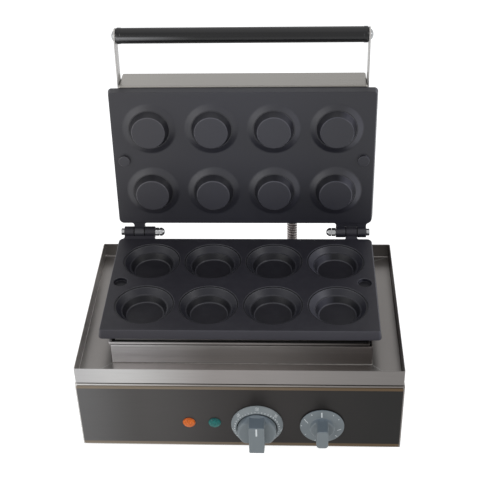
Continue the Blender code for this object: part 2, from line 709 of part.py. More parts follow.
def make_hinge_hardware(side, label):
    """Socket-head bolt, nut and cap nut along one hinge, bored with running clearance."""
    stack = barrels(side)
    inward = TO_RIGHT if side < 0 else TO_LEFT
    outside = stack[0][1] + GAP
    inside = stack[-1][2] - LEFT_BARREL_SPACE
    bolt_end = inside - NUT_LENGTH - LEFT_BARREL_SPACE - CAP_NUT_HEX_LENGTH
    profile = [
        (0, outside - bolt_end),
        (BOLT_RADIUS, outside - bolt_end),
        (BOLT_RADIUS, 0),
        (BOLT_HEAD_RADIUS, 0),
        (BOLT_HEAD_RADIUS, -BOLT_HEAD_LENGTH + GUIDE_CHAMFER / 2),
        (BOLT_HEAD_RADIUS - GUIDE_CHAMFER / 2, -BOLT_HEAD_LENGTH),
        (0, -BOLT_HEAD_LENGTH),
    ]
    place = (side * outside, HINGE_Y, HINGE_Z)
    bolt = turned(f"hinge_bolt_{label}", profile, place, inward, 16, BRIGHT)
    socket_place = (side * (outside + BOLT_HEAD_LENGTH + OVERRUN), HINGE_Y, HINGE_Z)
    depth = BOLT_SOCKET_DEPTH + OVERRUN
    cut(bolt, rod(f"bolt_socket_{label}", BOLT_SOCKET_RADIUS, depth, socket_place, inward, 6))
    nut_place = (side * inside, HINGE_Y, HINGE_Z)
    nut = rod(f"hinge_nut_{label}", NUT_CORNER_RADIUS, NUT_LENGTH, nut_place, inward, 6, BRIGHT)
    bore_place = (side * (inside + OVERRUN), HINGE_Y, HINGE_Z)
    bore_length = NUT_LENGTH + 2 * OVERRUN
    cut(nut, rod(f"nut_bore_{label}", BOLT_RADIUS + GAP, bore_length, bore_place, inward, 16))
    cap_start = inside - NUT_LENGTH - LEFT_BARREL_SPACE
    cap_place = (side * cap_start, HINGE_Y, HINGE_Z)
    cap = rod(f"cap_nut_{label}", NUT_CORNER_RADIUS, CAP_NUT_HEX_LENGTH, cap_place, inward, 6, BRIGHT)
    dome_rise = CAP_NUT_LENGTH - CAP_NUT_HEX_LENGTH
    dome = [(0, CAP_NUT_LENGTH)]
    for angle in (30, 60, 90):
        turn = math.radians(angle)
        dome.append((CAP_NUT_DOME_RADIUS * math.sin(turn), CAP_NUT_HEX_LENGTH + dome_rise * math.cos(turn)))
    dome.append((CAP_NUT_DOME_RADIUS, CAP_NUT_HEX_LENGTH / 2))
    dome.append((0, CAP_NUT_HEX_LENGTH / 2))
    join(cap, turned(f"cap_dome_{label}", dome, cap_place, inward, 16))
    hollow_place = (side * (cap_start + OVERRUN), HINGE_Y, HINGE_Z)
    hollow = OVERRUN + CAP_NUT_LENGTH - CAP_NUT_WALL
    cut(cap, rod(f"cap_hollow_{label}", BOLT_RADIUS + GAP, hollow, hollow_place, inward, 16))


def make_neck():
    half = NECK_WIDTH / 2
    bm = cube((-half, NECK_FRONT, NECK_BOTTOM), (half, NECK_BACK, NECK_TOP))
    upright = [e for e in bm.edges if is_upright(e)]
    round_edges(bm, upright + edges_at(bm, NECK_TOP), NECK_ROLL, 3)
    neck = add("heater_neck", bm, STEEL)
    inner = half - SHEET
    low = (-inner, NECK_FRONT + SHEET, NECK_BOTTOM - OVERRUN)
    bm = cube(low, (inner, NECK_BACK - SHEET, NECK_TOP - SHEET))
    upright = [e for e in bm.edges if is_upright(e)]
    round_edges(bm, upright + edges_at(bm, NECK_TOP - SHEET), NECK_ROLL - SHEET, 3)
    cut(neck, add("neck_inside", bm, None))
    window = GRID_X / 2 + CUP_THROAT_RADIUS + CAST_WALL + CUP_SHELL_ROOM
    low = (-window, PLATE_FRONT + POCKET_INSET_Y, NECK_TOP - OVERRUN)
    high = (window, PLATE_BACK - POCKET_INSET_Y, NECK_TOP + OVERRUN)
    cut(neck, box("neck_window", low, high))


def riser_places():
    """Where the heater's tails and the sensor's capillary go down into the base: (x, y, hole radius)."""
    tail_y = PLATE_MIDDLE + heater_reach()
    heater = ELEMENT_RADIUS + ELEMENT_TERMINAL_ROOM
    capillary = CAPILLARY_RADIUS + CAPILLARY_ROOM
    return [
        (-CUP_PITCH_X, tail_y, heater),
        (CUP_PITCH_X, tail_y, heater),
        (capillary_x(), PLATE_MIDDLE, capillary),
    ]


def capillary_x():
    return BULB_START + BULB_LENGTH + CAPILLARY_BEND


def heater_reach():
    """From the plate's middle to the heater's long run, half way between the cups and the pocket's wall."""
    cups = GRID_Y / 2 + CUP_THROAT_RADIUS + CAST_WALL
    wall = PLATE_DEPTH / 2 - POCKET_INSET_Y
    return (cups + wall) / 2


def drill_risers(obj, name, low, high):
    for number, (x, y, radius) in enumerate(riser_places()):
        cut(obj, rod(f"{name}_riser_{number}", radius, high - low, (x, y, low), UPRIGHT, 16))


def make_tray():
    """A pan bent from one sheet: an open box, thickened inwards."""
    half = TRAY_WIDTH / 2
    bm = cube((-half, TRAY_FRONT, TRAY_BOTTOM), (half, TRAY_BACK, TRAY_BOTTOM + TRAY_HEIGHT))
    top = [face for face in bm.faces if face.normal.z > 0.9]
    bmesh.ops.delete(bm, geom=top, context="FACES_ONLY")
    round_edges(bm, [e for e in bm.edges if is_upright(e)], TRAY_CORNER, 2)
    tray = add("drip_tray", bm, STEEL)
    thicken(tray, SHEET)
    drill_risers(tray, "tray", TRAY_BOTTOM - OVERRUN, TRAY_FLOOR + OVERRUN)


def thicken(obj, thickness):
    solid = obj.modifiers.new("Sheet", "SOLIDIFY")
    solid.thickness = thickness
    solid.offset = -1
    solid.use_even_offset = True


def control_holes():
    """Through the front of the base: (x, height above the base's edge, hole radius)."""
    lamp = LAMP_BODY_RADIUS + GAP
    return [
        (LAMP_ORANGE_X, LAMP_HEIGHT, lamp),
        (LAMP_GREEN_X, LAMP_HEIGHT, lamp),
        (TEMP_X, TEMP_HEIGHT, SHAFT_HOLE_RADIUS),
        (TIMER_X, TIMER_HEIGHT, SHAFT_HOLE_RADIUS),
    ]


def drill_controls(obj, name):
    for number, (x, height, radius) in enumerate(control_holes()):
        place = (x, INSIDE_FRONT + OVERRUN, BASE_BOTTOM + height)
        length = INSIDE_FRONT - PANEL_Y + 2 * OVERRUN
        cut(obj, rod(f"{name}_hole_{number}", radius, length, place, TO_FRONT, 16))


def make_base():
    """The base sheet: a box open below, with a raised land on top that the tray stands on."""
    half = BASE_WIDTH / 2
    bm = cube((-half, SHELL_FRONT, BASE_BOTTOM), (half, SHELL_BACK, BASE_TOP))
    bottom = [face for face in bm.faces if face.normal.z < -0.9]
    bmesh.ops.delete(bm, geom=bottom, context="FACES_ONLY")
    round_edges(bm, [e for e in bm.edges if is_upright(e)] + edges_at(bm, BASE_TOP), BASE_FOLD, 2)
    shell = add("base_shell", bm, STEEL)
    thicken(shell, SHEET)
    low = (-half + BASE_LAND_INSET, SHELL_FRONT + BASE_LAND_INSET, BASE_TOP - SHEET / 2)
    high = (half - BASE_LAND_INSET, SHELL_BACK - BASE_LAND_INSET, TRAY_BOTTOM - GAP)
    join(shell, box("tray_land", low, high))
    drill_controls(shell, "shell")
    drill_risers(shell, "shell", BASE_TOP - SHEET - OVERRUN, TRAY_BOTTOM + OVERRUN)
    middle = SHELL_BACK - SHEET / 2 + OVERRUN
    cord = (CORD_GLAND_X, middle, BASE_BOTTOM + CORD_GLAND_HEIGHT)
    cut(shell, rod("cord_hole", CORD_GLAND_RADIUS + GAP, 2 * OVERRUN, cord, TO_FRONT, 16))
    hose = (HOSE_X, middle, BASE_BOTTOM + HOSE_BASE_HEIGHT)
    cut(shell, rod("hose_hole", GLAND_STUB_RADIUS + GAP, 2 * OVERRUN, hose, TO_FRONT, 16))
    start = -(VENT_COUNT - 1) * VENT_PITCH / 2 + (CORD_GLAND_X + HOSE_X) / 2
    low = (start - VENT_WIDTH / 2, SHELL_BACK - SHEET - OVERRUN, BASE_TOP - 2 * BACK_VENT_HEIGHT)
    high = (start + VENT_WIDTH / 2, SHELL_BACK + OVERRUN, BASE_TOP - BACK_VENT_HEIGHT)
    cut(shell, repeat(box("back_vents", low, high), VENT_COUNT, (VENT_PITCH, 0, 0)))


def make_panel():
    half = BASE_WIDTH / 2 - PANEL_INSET
    low = (-half, PANEL_Y, BASE_BOTTOM + PANEL_INSET)
    high = (half, PANEL_Y + PANEL_THICKNESS, BASE_TOP - PANEL_INSET)
    bm = cube(low, high)
    corners = [e for e in bm.edges if abs((e.verts[0].co - e.verts[1].co).y) > PANEL_THICKNESS / 2]
    round_edges(bm, corners, PANEL_CORNER, 2)
    panel = add("front_panel", bm, GRAPHITE)
    drill_controls(panel, "panel")


def foot_places():
    half = BASE_WIDTH / 2 - FOOT_INSET
    return [(x, y) for y in (SHELL_FRONT + FOOT_INSET, SHELL_BACK - FOOT_INSET) for x in (-half, half)]


def make_bottom():
    half = BASE_WIDTH / 2 - SHEET - GAP
    low = (-half, SHELL_FRONT + SHEET + GAP, BASE_BOTTOM)
    high = (half, SHELL_BACK - SHEET - GAP, BASE_BOTTOM + SHEET)
    plate = box("bottom_plate", low, high, DARK_STEEL)
    middle = (SHELL_FRONT + SHELL_BACK) / 2
    for side in (-1, 1):
        start = side * BASE_WIDTH / 4 - (VENT_COUNT - 1) * VENT_PITCH / 2
        low = (start - VENT_WIDTH / 2, middle - VENT_LENGTH / 2, BASE_BOTTOM - OVERRUN)
        high = (start + VENT_WIDTH / 2, middle + VENT_LENGTH / 2, BASE_BOTTOM + SHEET + OVERRUN)
        cut(plate, repeat(box(f"floor_vents_{side}", low, high), VENT_COUNT, (VENT_PITCH, 0, 0)))
    profile = [
        (0, FOOT_HEIGHT - GAP),
        (FOOT_TOP_RADIUS, FOOT_HEIGHT - GAP),
        (FOOT_BOTTOM_RADIUS + FOOT_ROUND, FOOT_ROUND),
        (FOOT_BOTTOM_RADIUS, 0),
        (0, 0),
    ]
    for number, (x, y) in enumerate(foot_places()):
        turned(f"foot_{number + 1}", profile, (x, y, 0), UPRIGHT, 20, RUBBER)


def make_cover():
    low = (-COVER_SIDE, COVER_FRONT, COVER_BOTTOM)
    bm = cube(low, (COVER_SIDE, COVER_BACK, COVER_TOP))
    upright = [e for e in bm.edges if is_upright(e)]
    round_edges(bm, upright + edges_at(bm, COVER_TOP), COVER_ROUND, 2)
    cover = add("upper_cover", bm, STEEL, True)
    inner = COVER_SIDE - SHEET
    low = (-inner, COVER_FRONT + SHEET, COVER_BOTTOM + SHEET)
    bm = cube(low, (inner, COVER_BACK - SHEET, COVER_TOP - SHEET))
    upright = [e for e in bm.edges if is_upright(e)]
    round_edges(bm, upright + edges_at(bm, COVER_TOP - SHEET), COVER_ROUND - SHEET, 2)
    cut(cover, add("cover_inside", bm, None, True))
    half = COVER_SIDE - COVER_FLANGE
    low = (-half, COVER_FRONT + COVER_FLANGE, COVER_BOTTOM - OVERRUN)
    high = (half, COVER_BACK - COVER_FLANGE, COVER_BOTTOM + SHEET + OVERRUN)
    cut(cover, box("cover_mouth", low, high, None, True))
    hose = (HOSE_X, COVER_BACK - SHEET / 2 + OVERRUN, UPPER_BACK + HOSE_LID_RISE)
    hole = GLAND_STUB_RADIUS + GAP
    cut(cover, rod("cover_hose_hole", hole, 2 * OVERRUN, hose, TO_FRONT, 16, None, True))
    for side in (-1, 1):
        for number, y in enumerate(arm_screw_places()):
            place = (side * COVER_SIDE - OVERRUN, y, GRIP_Z)
            name = f"cover_screw_hole_{side}_{number}"
            cut(cover, rod(name, ARM_SCREW_RADIUS + GAP, 2 * OVERRUN, place, TO_RIGHT, 12, None, True))


def arm_screw_places():
    first = COVER_FRONT + ARM_SCREW_FIRST
    return (first, first + ARM_SCREW_PITCH)


def make_arms():
    """Flat bars with round ends, with the screws that hold them to the cover and to the grip."""
    screw = dome_screw(ARM_SCREW_RADIUS, ARM_SCREW_HEAD_RADIUS, ARM_SCREW_HEAD_HEIGHT, ARM_SCREW_GRIP)
    end = dome_screw(GRIP_SCREW_RADIUS, GRIP_SCREW_HEAD_RADIUS, GRIP_SCREW_HEAD_HEIGHT, GRIP_SCREW_GRIP)
    number = 0
    for side, label in ((-1, "left"), (1, "right")):
        inner = side * (COVER_SIDE + GAP)
        outer = inner + side * ARM_THICKNESS
        low = (min(inner, outer), GRIP_Y - ARM_WIDTH / 2, GRIP_Z - ARM_WIDTH / 2)
        high = (max(inner, outer), COVER_FRONT + ARM_OVERLAP, GRIP_Z + ARM_WIDTH / 2)
        bm = cube(low, high)
        across = [e for e in bm.edges if abs((e.verts[0].co - e.verts[1].co).x) > ARM_THICKNESS / 2]
        round_edges(bm, across, ARM_WIDTH / 2 - GAP, 5)
        arm = add(f"handle_arm_{label}", bm, STEEL, True)
        reach = 2 * OVERRUN
        hole = (inner - OVERRUN, GRIP_Y, GRIP_Z)
        cut(arm, rod(f"arm_end_hole_{label}", GRIP_SCREW_RADIUS + GAP, reach, hole, TO_RIGHT, 12, None, True))
        inward = TO_RIGHT if side < 0 else TO_LEFT
        seat = outer + side * GAP
        turned(f"grip_screw_{label}", end, (seat, GRIP_Y, GRIP_Z), inward, 16, BRIGHT, lid=True)
        for place, y in enumerate(arm_screw_places()):
            number += 1
            hole = (inner - OVERRUN, y, GRIP_Z)
            name = f"arm_hole_{label}_{place}"
            cut(arm, rod(name, ARM_SCREW_RADIUS + GAP, reach, hole, TO_RIGHT, 12, None, True))
            turned(f"arm_screw_{number}", screw, (seat, y, GRIP_Z), inward, 12, BRIGHT, lid=True)


def dome_screw(radius, head_radius, head_height, grip):
    """A plain shank with a low domed head, seated at height zero, pointing up its own Z."""
    profile = [(0, grip), (radius, grip), (radius, 0), (head_radius, 0)]
    for angle in (30, 60):
        turn = math.radians(angle)
        profile.append((head_radius * math.cos(turn), -head_height * math.sin(turn)))
    profile.append((0, -head_height))
    return profile


def make_grip():
    """A round bar with a steel rod through it, whose ends take the dome screws."""
    length = 2 * COVER_SIDE
    bore = GRIP_ROD_RADIUS + GAP
    profile = [
        (GRIP_RADIUS - GRIP_CHAMFER, length),
        (GRIP_RADIUS, length - GRIP_CHAMFER),
        (GRIP_RADIUS, GRIP_CHAMFER),
        (GRIP_RADIUS - GRIP_CHAMFER, 0),
        (bore, 0),
        (bore, length),
    ]
    place = (-COVER_SIDE, GRIP_Y, GRIP_Z)
    turned("grip", profile, place, TO_RIGHT, ROUND_STEPS, BLACK, ring=True, lid=True)
    steel = rod("grip_rod", GRIP_ROD_RADIUS, length, place, TO_RIGHT, 12, BRIGHT, True)
    for side in (-1, 1):
        start = (side * COVER_SIDE - GRIP_SCREW_GRIP, GRIP_Y, GRIP_Z)
        name = f"rod_thread_{side}"
        cut(steel, rod(name, GRIP_SCREW_RADIUS + GAP, 2 * GRIP_SCREW_GRIP, start, TO_RIGHT, 12, None, True))


def heater_route(run_z, tail_z):
    """A hairpin between the cup columns, with both tails at the back."""
    reach = heater_reach()
    front = PLATE_MIDDLE - reach
    back = PLATE_MIDDLE + reach
    x = CUP_PITCH_X
    return [
        (-x, back, tail_z),
        (-x, back, run_z),
        (-x, front, run_z),
        (x, front, run_z),
        (x, back, run_z),
        (x, back, tail_z),
    ]


def make_heaters():
    run = LOWER_FACE - FACE_THICKNESS - GAP - ELEMENT_RADIUS
    route = rounded_route(heater_route(run, run - ELEMENT_TAIL - ELEMENT_BEND), ELEMENT_BEND)
    tube("lower_element", route, ELEMENT_RADIUS, DARK_STEEL)
    run = UPPER_FACE + FACE_THICKNESS + GAP + ELEMENT_RADIUS
    route = rounded_route(heater_route(run, run + ELEMENT_TAIL + ELEMENT_BEND), ELEMENT_BEND)
    tube("upper_element", route, ELEMENT_RADIUS, DARK_STEEL, lid=True)


def make_reflectors():
    half = PLATE_WIDTH / 2 - UPPER_POCKET_INSET_X - REFLECTOR_INSET / 2
    front = PLATE_FRONT + POCKET_INSET_Y + REFLECTOR_INSET / 2
    back = PLATE_BACK - REFLECTOR_INSET / 4
    top = LOWER_FACE - CUP_DEPTH - CAST_WALL - REFLECTOR_DROP - GAP
    low = (-half, front, top - THIN_SHEET)
    lower = box("lower_reflector", low, (half, back, top), DARK_STEEL)
    drill_risers(lower, "reflector", top - THIN_SHEET - OVERRUN, top + OVERRUN)
    bottom = UPPER_REFLECTOR
    upper = box("upper_reflector", (-half, front, bottom), (half, back, bottom + THIN_SHEET), DARK_STEEL, True)
    for number, (x, y, radius) in enumerate(riser_places()[:2]):
        place = (x, y, bottom - OVERRUN)
        length = THIN_SHEET + 2 * OVERRUN
        cut(upper, rod(f"upper_riser_{number}", radius, length, place, UPRIGHT, 16, None, True))


def make_sensor():
    """A bulb under the lower plate, and its thin tube down through the housing to the thermostat."""
    z = LOWER_FACE - FACE_THICKNESS - GAP - BULB_RADIUS
    end = Vector((capillary_x(), PLATE_MIDDLE, z))
    behind = INSIDE_FRONT + THERMOSTAT_SIZE.y + GAP
    thermostat_z = BASE_BOTTOM + TEMP_HEIGHT
    corners = [
        (BULB_START + BULB_LENGTH, PLATE_MIDDLE, z),
        end,
        (end.x, end.y, thermostat_z),
        (TEMP_X, end.y, thermostat_z),
        (TEMP_X, behind, thermostat_z),
    ]
    route = rounded_route(corners, CAPILLARY_BEND / 2)
    thin = CAPILLARY_RADIUS / BULB_RADIUS
    start = Vector((BULB_START, PLATE_MIDDLE, z))
    shoulder = Vector((BULB_START + BULB_LENGTH - BULB_RADIUS, PLATE_MIDDLE, z))
    points = [start, start + Vector((BULB_RADIUS / 2, 0, 0)), shoulder, *route]
    radii = [thin, 1, 1] + [thin] * len(route)
    tube("sensor_bulb", points, BULB_RADIUS, BRIGHT, radii)


def control_body(name, size, x, height, material):
    """A boxed control on a mounting plate behind the panel, bored for its shaft."""
    z = BASE_BOTTOM + height
    half = size / 2
    low = (x - half.x - CONTROL_FLANGE, INSIDE_FRONT, z - half.z / 2)
    high = (x + half.x + CONTROL_FLANGE, INSIDE_FRONT + CONTROL_PLATE_THICKNESS, z + half.z / 2)
    body = box(name, low, high, material)
    low = (x - half.x, INSIDE_FRONT + CONTROL_PLATE_THICKNESS / 2, z - half.z)
    high = (x + half.x, INSIDE_FRONT + size.y, z + half.z)
    join(body, box(name + "_case", low, high))
    start = (x, INSIDE_FRONT + SHAFT_GRIP + GAP, z)
    length = SHAFT_GRIP + GAP + OVERRUN
    cut(body, rod(name + "_bore", SHAFT_RADIUS + GAP, length, start, TO_FRONT, 16))


def make_shaft(name, x, height, reach):
    """A shaft with a flat, from inside its control body to just short of the knob's bore end."""
    start = INSIDE_FRONT + SHAFT_GRIP
    end = PANEL_Y - reach + KNOB_BORE_END + GAP
    z = BASE_BOTTOM + height
    shaft = rod(name, SHAFT_RADIUS, start - end, (x, start, z), TO_FRONT, 16, BRIGHT)
    flat = (x - SHAFT_RADIUS - OVERRUN, end - OVERRUN, z + SHAFT_RADIUS * 0.6)
    far = (x + SHAFT_RADIUS + OVERRUN, PANEL_Y - TEMP_KNOB_BACK, z + SHAFT_RADIUS + OVERRUN)
    cut(shaft, box(name + "_flat", flat, far))


def make_wing(name, x, height, length, width, corner, back, reach):
    """The grip of a knob: a bar with rounded corners that narrows towards the front."""
    bm = cube((-width / 2, -length / 2, back), (width / 2, length / 2, reach))
    round_edges(bm, [e for e in bm.edges if is_upright(e)], corner, 3)
    for vert in bm.verts:
        if vert.co.z > reach - MERGE_DISTANCE:
            vert.co.x *= 1 - 2 * WING_TAPER / width
            vert.co.y *= 1 - 2 * WING_END_TAPER / length
    top = [face for face in bm.faces if face.normal.z > 0.9 and face.calc_center_median().z > back + WING_ROUND]
    edges = list({edge for face in top for edge in face.edges})
    round_edges(bm, edges, WING_ROUND, 1)
    wing = add(name, bm, None)
    wing.location = (x, PANEL_Y, BASE_BOTTOM + height)
    wing.rotation_euler = TO_FRONT
    return wing


def bore_knob(knob, name, x, height, reach):
    place = (x, PANEL_Y + OVERRUN, BASE_BOTTOM + height)
    length = OVERRUN + reach - KNOB_BORE_END
    cut(knob, rod(name, SHAFT_RADIUS + GAP, length, place, TO_FRONT, 16))


def make_temp_control():
    place = (TEMP_X, PANEL_Y, BASE_BOTTOM + TEMP_HEIGHT)
    inner = TEMP_KNOB_RADIUS + GAP
    ring = [
        (inner + SCALE_RING_LIP, SCALE_RING_HEIGHT),
        (SCALE_RING_RADIUS, GAP + SCALE_RING_EDGE),
        (SCALE_RING_RADIUS, GAP),
        (SCALE_RING_RADIUS - SCALE_RING_WALL, GAP),
        (inner, SCALE_RING_HEIGHT - SCALE_RING_WALL),
        (inner, SCALE_RING_HEIGHT),
    ]
    turned("temp_scale_ring", ring, place, TO_FRONT, 32, GREY, ring=True)
    bevel = 1 - math.sqrt(0.5)
    body = [
        (0, TEMP_KNOB_FRONT),
        (TEMP_KNOB_RADIUS - TEMP_KNOB_ROUND, TEMP_KNOB_FRONT),
        (TEMP_KNOB_RADIUS - TEMP_KNOB_ROUND * bevel, TEMP_KNOB_FRONT - TEMP_KNOB_ROUND * bevel),
        (TEMP_KNOB_RADIUS, TEMP_KNOB_FRONT - TEMP_KNOB_ROUND),
        (TEMP_KNOB_RADIUS, TEMP_KNOB_BACK),
        (0, TEMP_KNOB_BACK),
    ]
    knob = turned("temp_knob", body, place, TO_FRONT, 28, GREY)
    back = TEMP_KNOB_FRONT - TEMP_KNOB_ROUND - SINK
    size = (TEMP_WING_LENGTH, TEMP_WING_WIDTH, TEMP_WING_CORNER, back, TEMP_WING_REACH)
    join(knob, make_wing("temp_wing", TEMP_X, TEMP_HEIGHT, *size))
    bore_knob(knob, "temp_bore", TEMP_X, TEMP_HEIGHT, TEMP_WING_REACH)
    make_shaft("temp_shaft", TEMP_X, TEMP_HEIGHT, TEMP_WING_REACH)
    control_body("thermostat_body", THERMOSTAT_SIZE, TEMP_X, TEMP_HEIGHT, WHITE)


def make_timer_control():
    place = (TIMER_X, PANEL_Y, BASE_BOTTOM + TIMER_HEIGHT)
    skirt_front = TIMER_SKIRT_BACK + TIMER_SKIRT_EDGE
    body = [
        (0, TIMER_HUB_FRONT),
        (TIMER_HUB_RADIUS - TIMER_HUB_LEAN, TIMER_HUB_FRONT),
        (TIMER_HUB_RADIUS, skirt_front + TIMER_SKIRT_RISE),
        (TIMER_SKIRT_RADIUS, skirt_front),
        (TIMER_SKIRT_RADIUS, TIMER_SKIRT_BACK),
        (0, TIMER_SKIRT_BACK),
    ]
    knob = turned("timer_knob", body, place, TO_FRONT, 28, GREY)
    back = skirt_front + TIMER_SKIRT_RISE
    size = (TIMER_WING_LENGTH, TIMER_WING_WIDTH, TIMER_WING_CORNER, back, TIMER_WING_REACH)
    join(knob, make_wing("timer_wing", TIMER_X, TIMER_HEIGHT, *size))
    bore_knob(knob, "timer_bore", TIMER_X, TIMER_HEIGHT, TIMER_WING_REACH)
    make_shaft("timer_shaft", TIMER_X, TIMER_HEIGHT, TIMER_WING_REACH)
    control_body("timer_body", TIMER_BODY_SIZE, TIMER_X, TIMER_HEIGHT, DARK_STEEL)


def make_lamp(label, x, material):
    """A faceted lens in front of the panel and the lamp body that passes through it."""
    z = BASE_BOTTOM + LAMP_HEIGHT
    lens = [
        (0, LAMP_LENS_HEIGHT),
        (LAMP_LENS_RADIUS / 2, LAMP_LENS_HEIGHT),
        (LAMP_LENS_RADIUS, GAP + LAMP_LENS_EDGE),
        (LAMP_LENS_RADIUS, GAP),
        (0, GAP),
    ]
    turned(f"lamp_lens_{label}", lens, (x, PANEL_Y, z), TO_FRONT, LAMP_FACETS, material)
    rod(f"lamp_body_{label}", LAMP_BODY_RADIUS, LAMP_BODY_LENGTH, (x, PANEL_Y, z), TO_BACK, 16, WHITE)


def make_terminal_block():
    z = BASE_BOTTOM + SHEET + GAP
    y = SHELL_BACK - TERMINAL_SETBACK
    half = TERMINAL_SIZE / 2
    low = (TERMINAL_X - half.x, y - half.y, z)
    block = box("terminal_block", low, (TERMINAL_X + half.x, y + half.y, z + TERMINAL_SIZE.z), WHITE)
    pitch = TERMINAL_SIZE.x / TERMINAL_WAYS
    x = TERMINAL_X - half.x + pitch / 2 - TERMINAL_SLOT / 2
    low = (x, y - half.y - OVERRUN, z + TERMINAL_SIZE.z - TERMINAL_SLOT)
    high = (x + TERMINAL_SLOT, y + half.y + OVERRUN, z + TERMINAL_SIZE.z + OVERRUN)
    cut(block, repeat(box("terminal_slots", low, high), TERMINAL_WAYS, (pitch, 0, 0)))


def make_cord_gland():
    """The strain relief of the mains lead, through the back wall."""
    wall = SHEET + GAP
    profile = [
        (CORD_GLAND_RADIUS - CORD_GLAND_FLANGE, CORD_GLAND_REACH),
        (CORD_GLAND_RADIUS, CORD_GLAND_FLANGE + GAP),
        (CORD_GLAND_RADIUS + CORD_GLAND_FLANGE, CORD_GLAND_FLANGE + GAP),
        (CORD_GLAND_RADIUS + CORD_GLAND_FLANGE, GAP),
        (CORD_GLAND_RADIUS, GAP),
        (CORD_GLAND_RADIUS, -wall - CORD_GLAND_FLANGE),
        (CORD_BORE, -wall - CORD_GLAND_FLANGE),
        (CORD_BORE, CORD_GLAND_REACH),
    ]
    place = (CORD_GLAND_X, SHELL_BACK, BASE_BOTTOM + CORD_GLAND_HEIGHT)
    turned("cord_gland", profile, place, TO_BACK, 16, RUBBER, ring=True)


def make_hose_gland(name, place, lid):
    """A hexagon and a collar outside the wall, with a stub through it, bored for the leads."""
    hexagon_start = Vector(place) + Vector((0, GAP, 0))
    gland = rod(name, GLAND_CORNER_RADIUS, GLAND_HEX_LENGTH, hexagon_start, TO_BACK, 6, BRIGHT, lid)
    start = Vector(place) - Vector((0, GLAND_STUB_LENGTH, 0))
    length = GLAND_STUB_LENGTH + GLAND_HEX_LENGTH / 2
    join(gland, rod(name + "_stub", GLAND_STUB_RADIUS, length, start, TO_BACK, 16, None, lid))
    collar = Vector(place) + Vector((0, GLAND_HEX_LENGTH / 2, 0))
    length = GLAND_HEX_LENGTH / 2 + GLAND_COLLAR_LENGTH
    join(gland, rod(name + "_collar", GLAND_COLLAR_RADIUS, length, collar, TO_BACK, 16, None, lid))
    bore = start - Vector((0, OVERRUN, 0))
    length = GLAND_STUB_LENGTH + GLAND_HEX_LENGTH + GLAND_COLLAR_LENGTH + 2 * OVERRUN
    cut(gland, rod(name + "_bore", HOSE_BORE_RADIUS, length, bore, TO_BACK, 12, None, lid))


def opened(point):
    """A closed lid's point, moved to where it is with the lid open."""
    turn = Matrix.Rotation(-OPEN_ANGLE, 4, "X")
    return LID_PIVOT.location + turn @ (Vector(point) - LID_PIVOT.location)


def hose_route():
    """Straight out of each gland, with one smooth cubic between: (points, their distances along the hose)."""
    mouth = GLAND_HEX_LENGTH + GLAND_COLLAR_LENGTH + GAP
    start = Vector((HOSE_X, SHELL_BACK + mouth, BASE_BOTTOM + HOSE_BASE_HEIGHT))
    lid_z = UPPER_BACK + HOSE_LID_RISE
    end = opened((HOSE_X, COVER_BACK + mouth, lid_z))
    out = opened((HOSE_X, COVER_BACK + mouth + HOSE_STRAIGHT, lid_z)) - end
    first = start + Vector((0, HOSE_STRAIGHT, 0))
    last = end + out
    pull_first = first + Vector((0, HOSE_BASE_PULL, 0))
    pull_last = last + out.normalized() * HOSE_LID_PULL
    points = [start]
    for step in range(HOSE_SAMPLES + 1):
        t = step / HOSE_SAMPLES
        blend = first * (1 - t) ** 3 + pull_first * 3 * t * (1 - t) ** 2
        points.append(blend + pull_last * 3 * t * t * (1 - t) + last * t**3)
    points.append(end)
    distances = [0]
    for before, after in zip(points, points[1:]):
        distances.append(distances[-1] + (after - before).length)
    return points, distances


def along(points, distances, distance):
    """The point this far along a route."""
    for place in range(1, len(points)):
        if distances[place] >= distance:
            break
    span = distances[place] - distances[place - 1]
    share = (distance - distances[place - 1]) / span if span else 0
    return points[place - 1].lerp(points[place], share)


def make_hose():
    """The ribbed hose: each rib has a crest and a root, and a plain bore runs through."""
    points, distances = hose_route()
    length = distances[-1]
    ribs = round(length / HOSE_RIB_PITCH)
    places = [along(points, distances, length * step / (2 * ribs)) for step in range(2 * ribs + 1)]
    root = 1 - HOSE_RIB_DEPTH / HOSE_RADIUS
    radii = [root if step % 2 == 0 else 1 for step in range(2 * ribs + 1)]
    hose = tube("conduit", places, HOSE_RADIUS, BRIGHT, radii)
    steps = round(length / HOSE_BORE_STEP)
    bore = [along(points, distances, length * step / steps) for step in range(steps + 1)]
    ahead = (bore[0] - bore[1]).normalized() * OVERRUN
    behind = (bore[-1] - bore[-2]).normalized() * OVERRUN
    cut(hose, tube("conduit_bore", [bore[0] + ahead, *bore[1:-1], bore[-1] + behind], HOSE_BORE_RADIUS))
    print(f"hose length {length:.4f} m with {ribs} ribs")


def finish_parts():
    """Apply each part's modifiers, and shade its round faces smooth."""
    graph = bpy.context.evaluated_depsgraph_get()
    made = {obj: bpy.data.meshes.new_from_object(obj.evaluated_get(graph)) for obj in PARTS.objects if obj.data}
    for obj, mesh in made.items():
        obj.modifiers.clear()
        obj.data = mesh
        mesh.shade_smooth()
        mesh.set_sharp_from_angle(angle=SHARP_ANGLE)


make_base()
make_panel()
make_bottom()
make_tray()
make_neck()
make_lower_plate()
make_upper_plate()
make_hinge_hardware(-1, "left")
make_hinge_hardware(1, "right")
make_cover()
make_arms()
make_grip()
make_heaters()
make_reflectors()
make_sensor()
make_temp_control()
make_timer_control()
make_lamp("orange", LAMP_ORANGE_X, ORANGE)
make_lamp("green", LAMP_GREEN_X, GREEN)
make_terminal_block()
make_cord_gland()
make_hose_gland("conduit_gland_base", (HOSE_X, SHELL_BACK, BASE_BOTTOM + HOSE_BASE_HEIGHT), False)
make_hose_gland("conduit_gland_lid", (HOSE_X, COVER_BACK, UPPER_BACK + HOSE_LID_RISE), True)
make_hose()
finish_parts()
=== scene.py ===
import json
import math

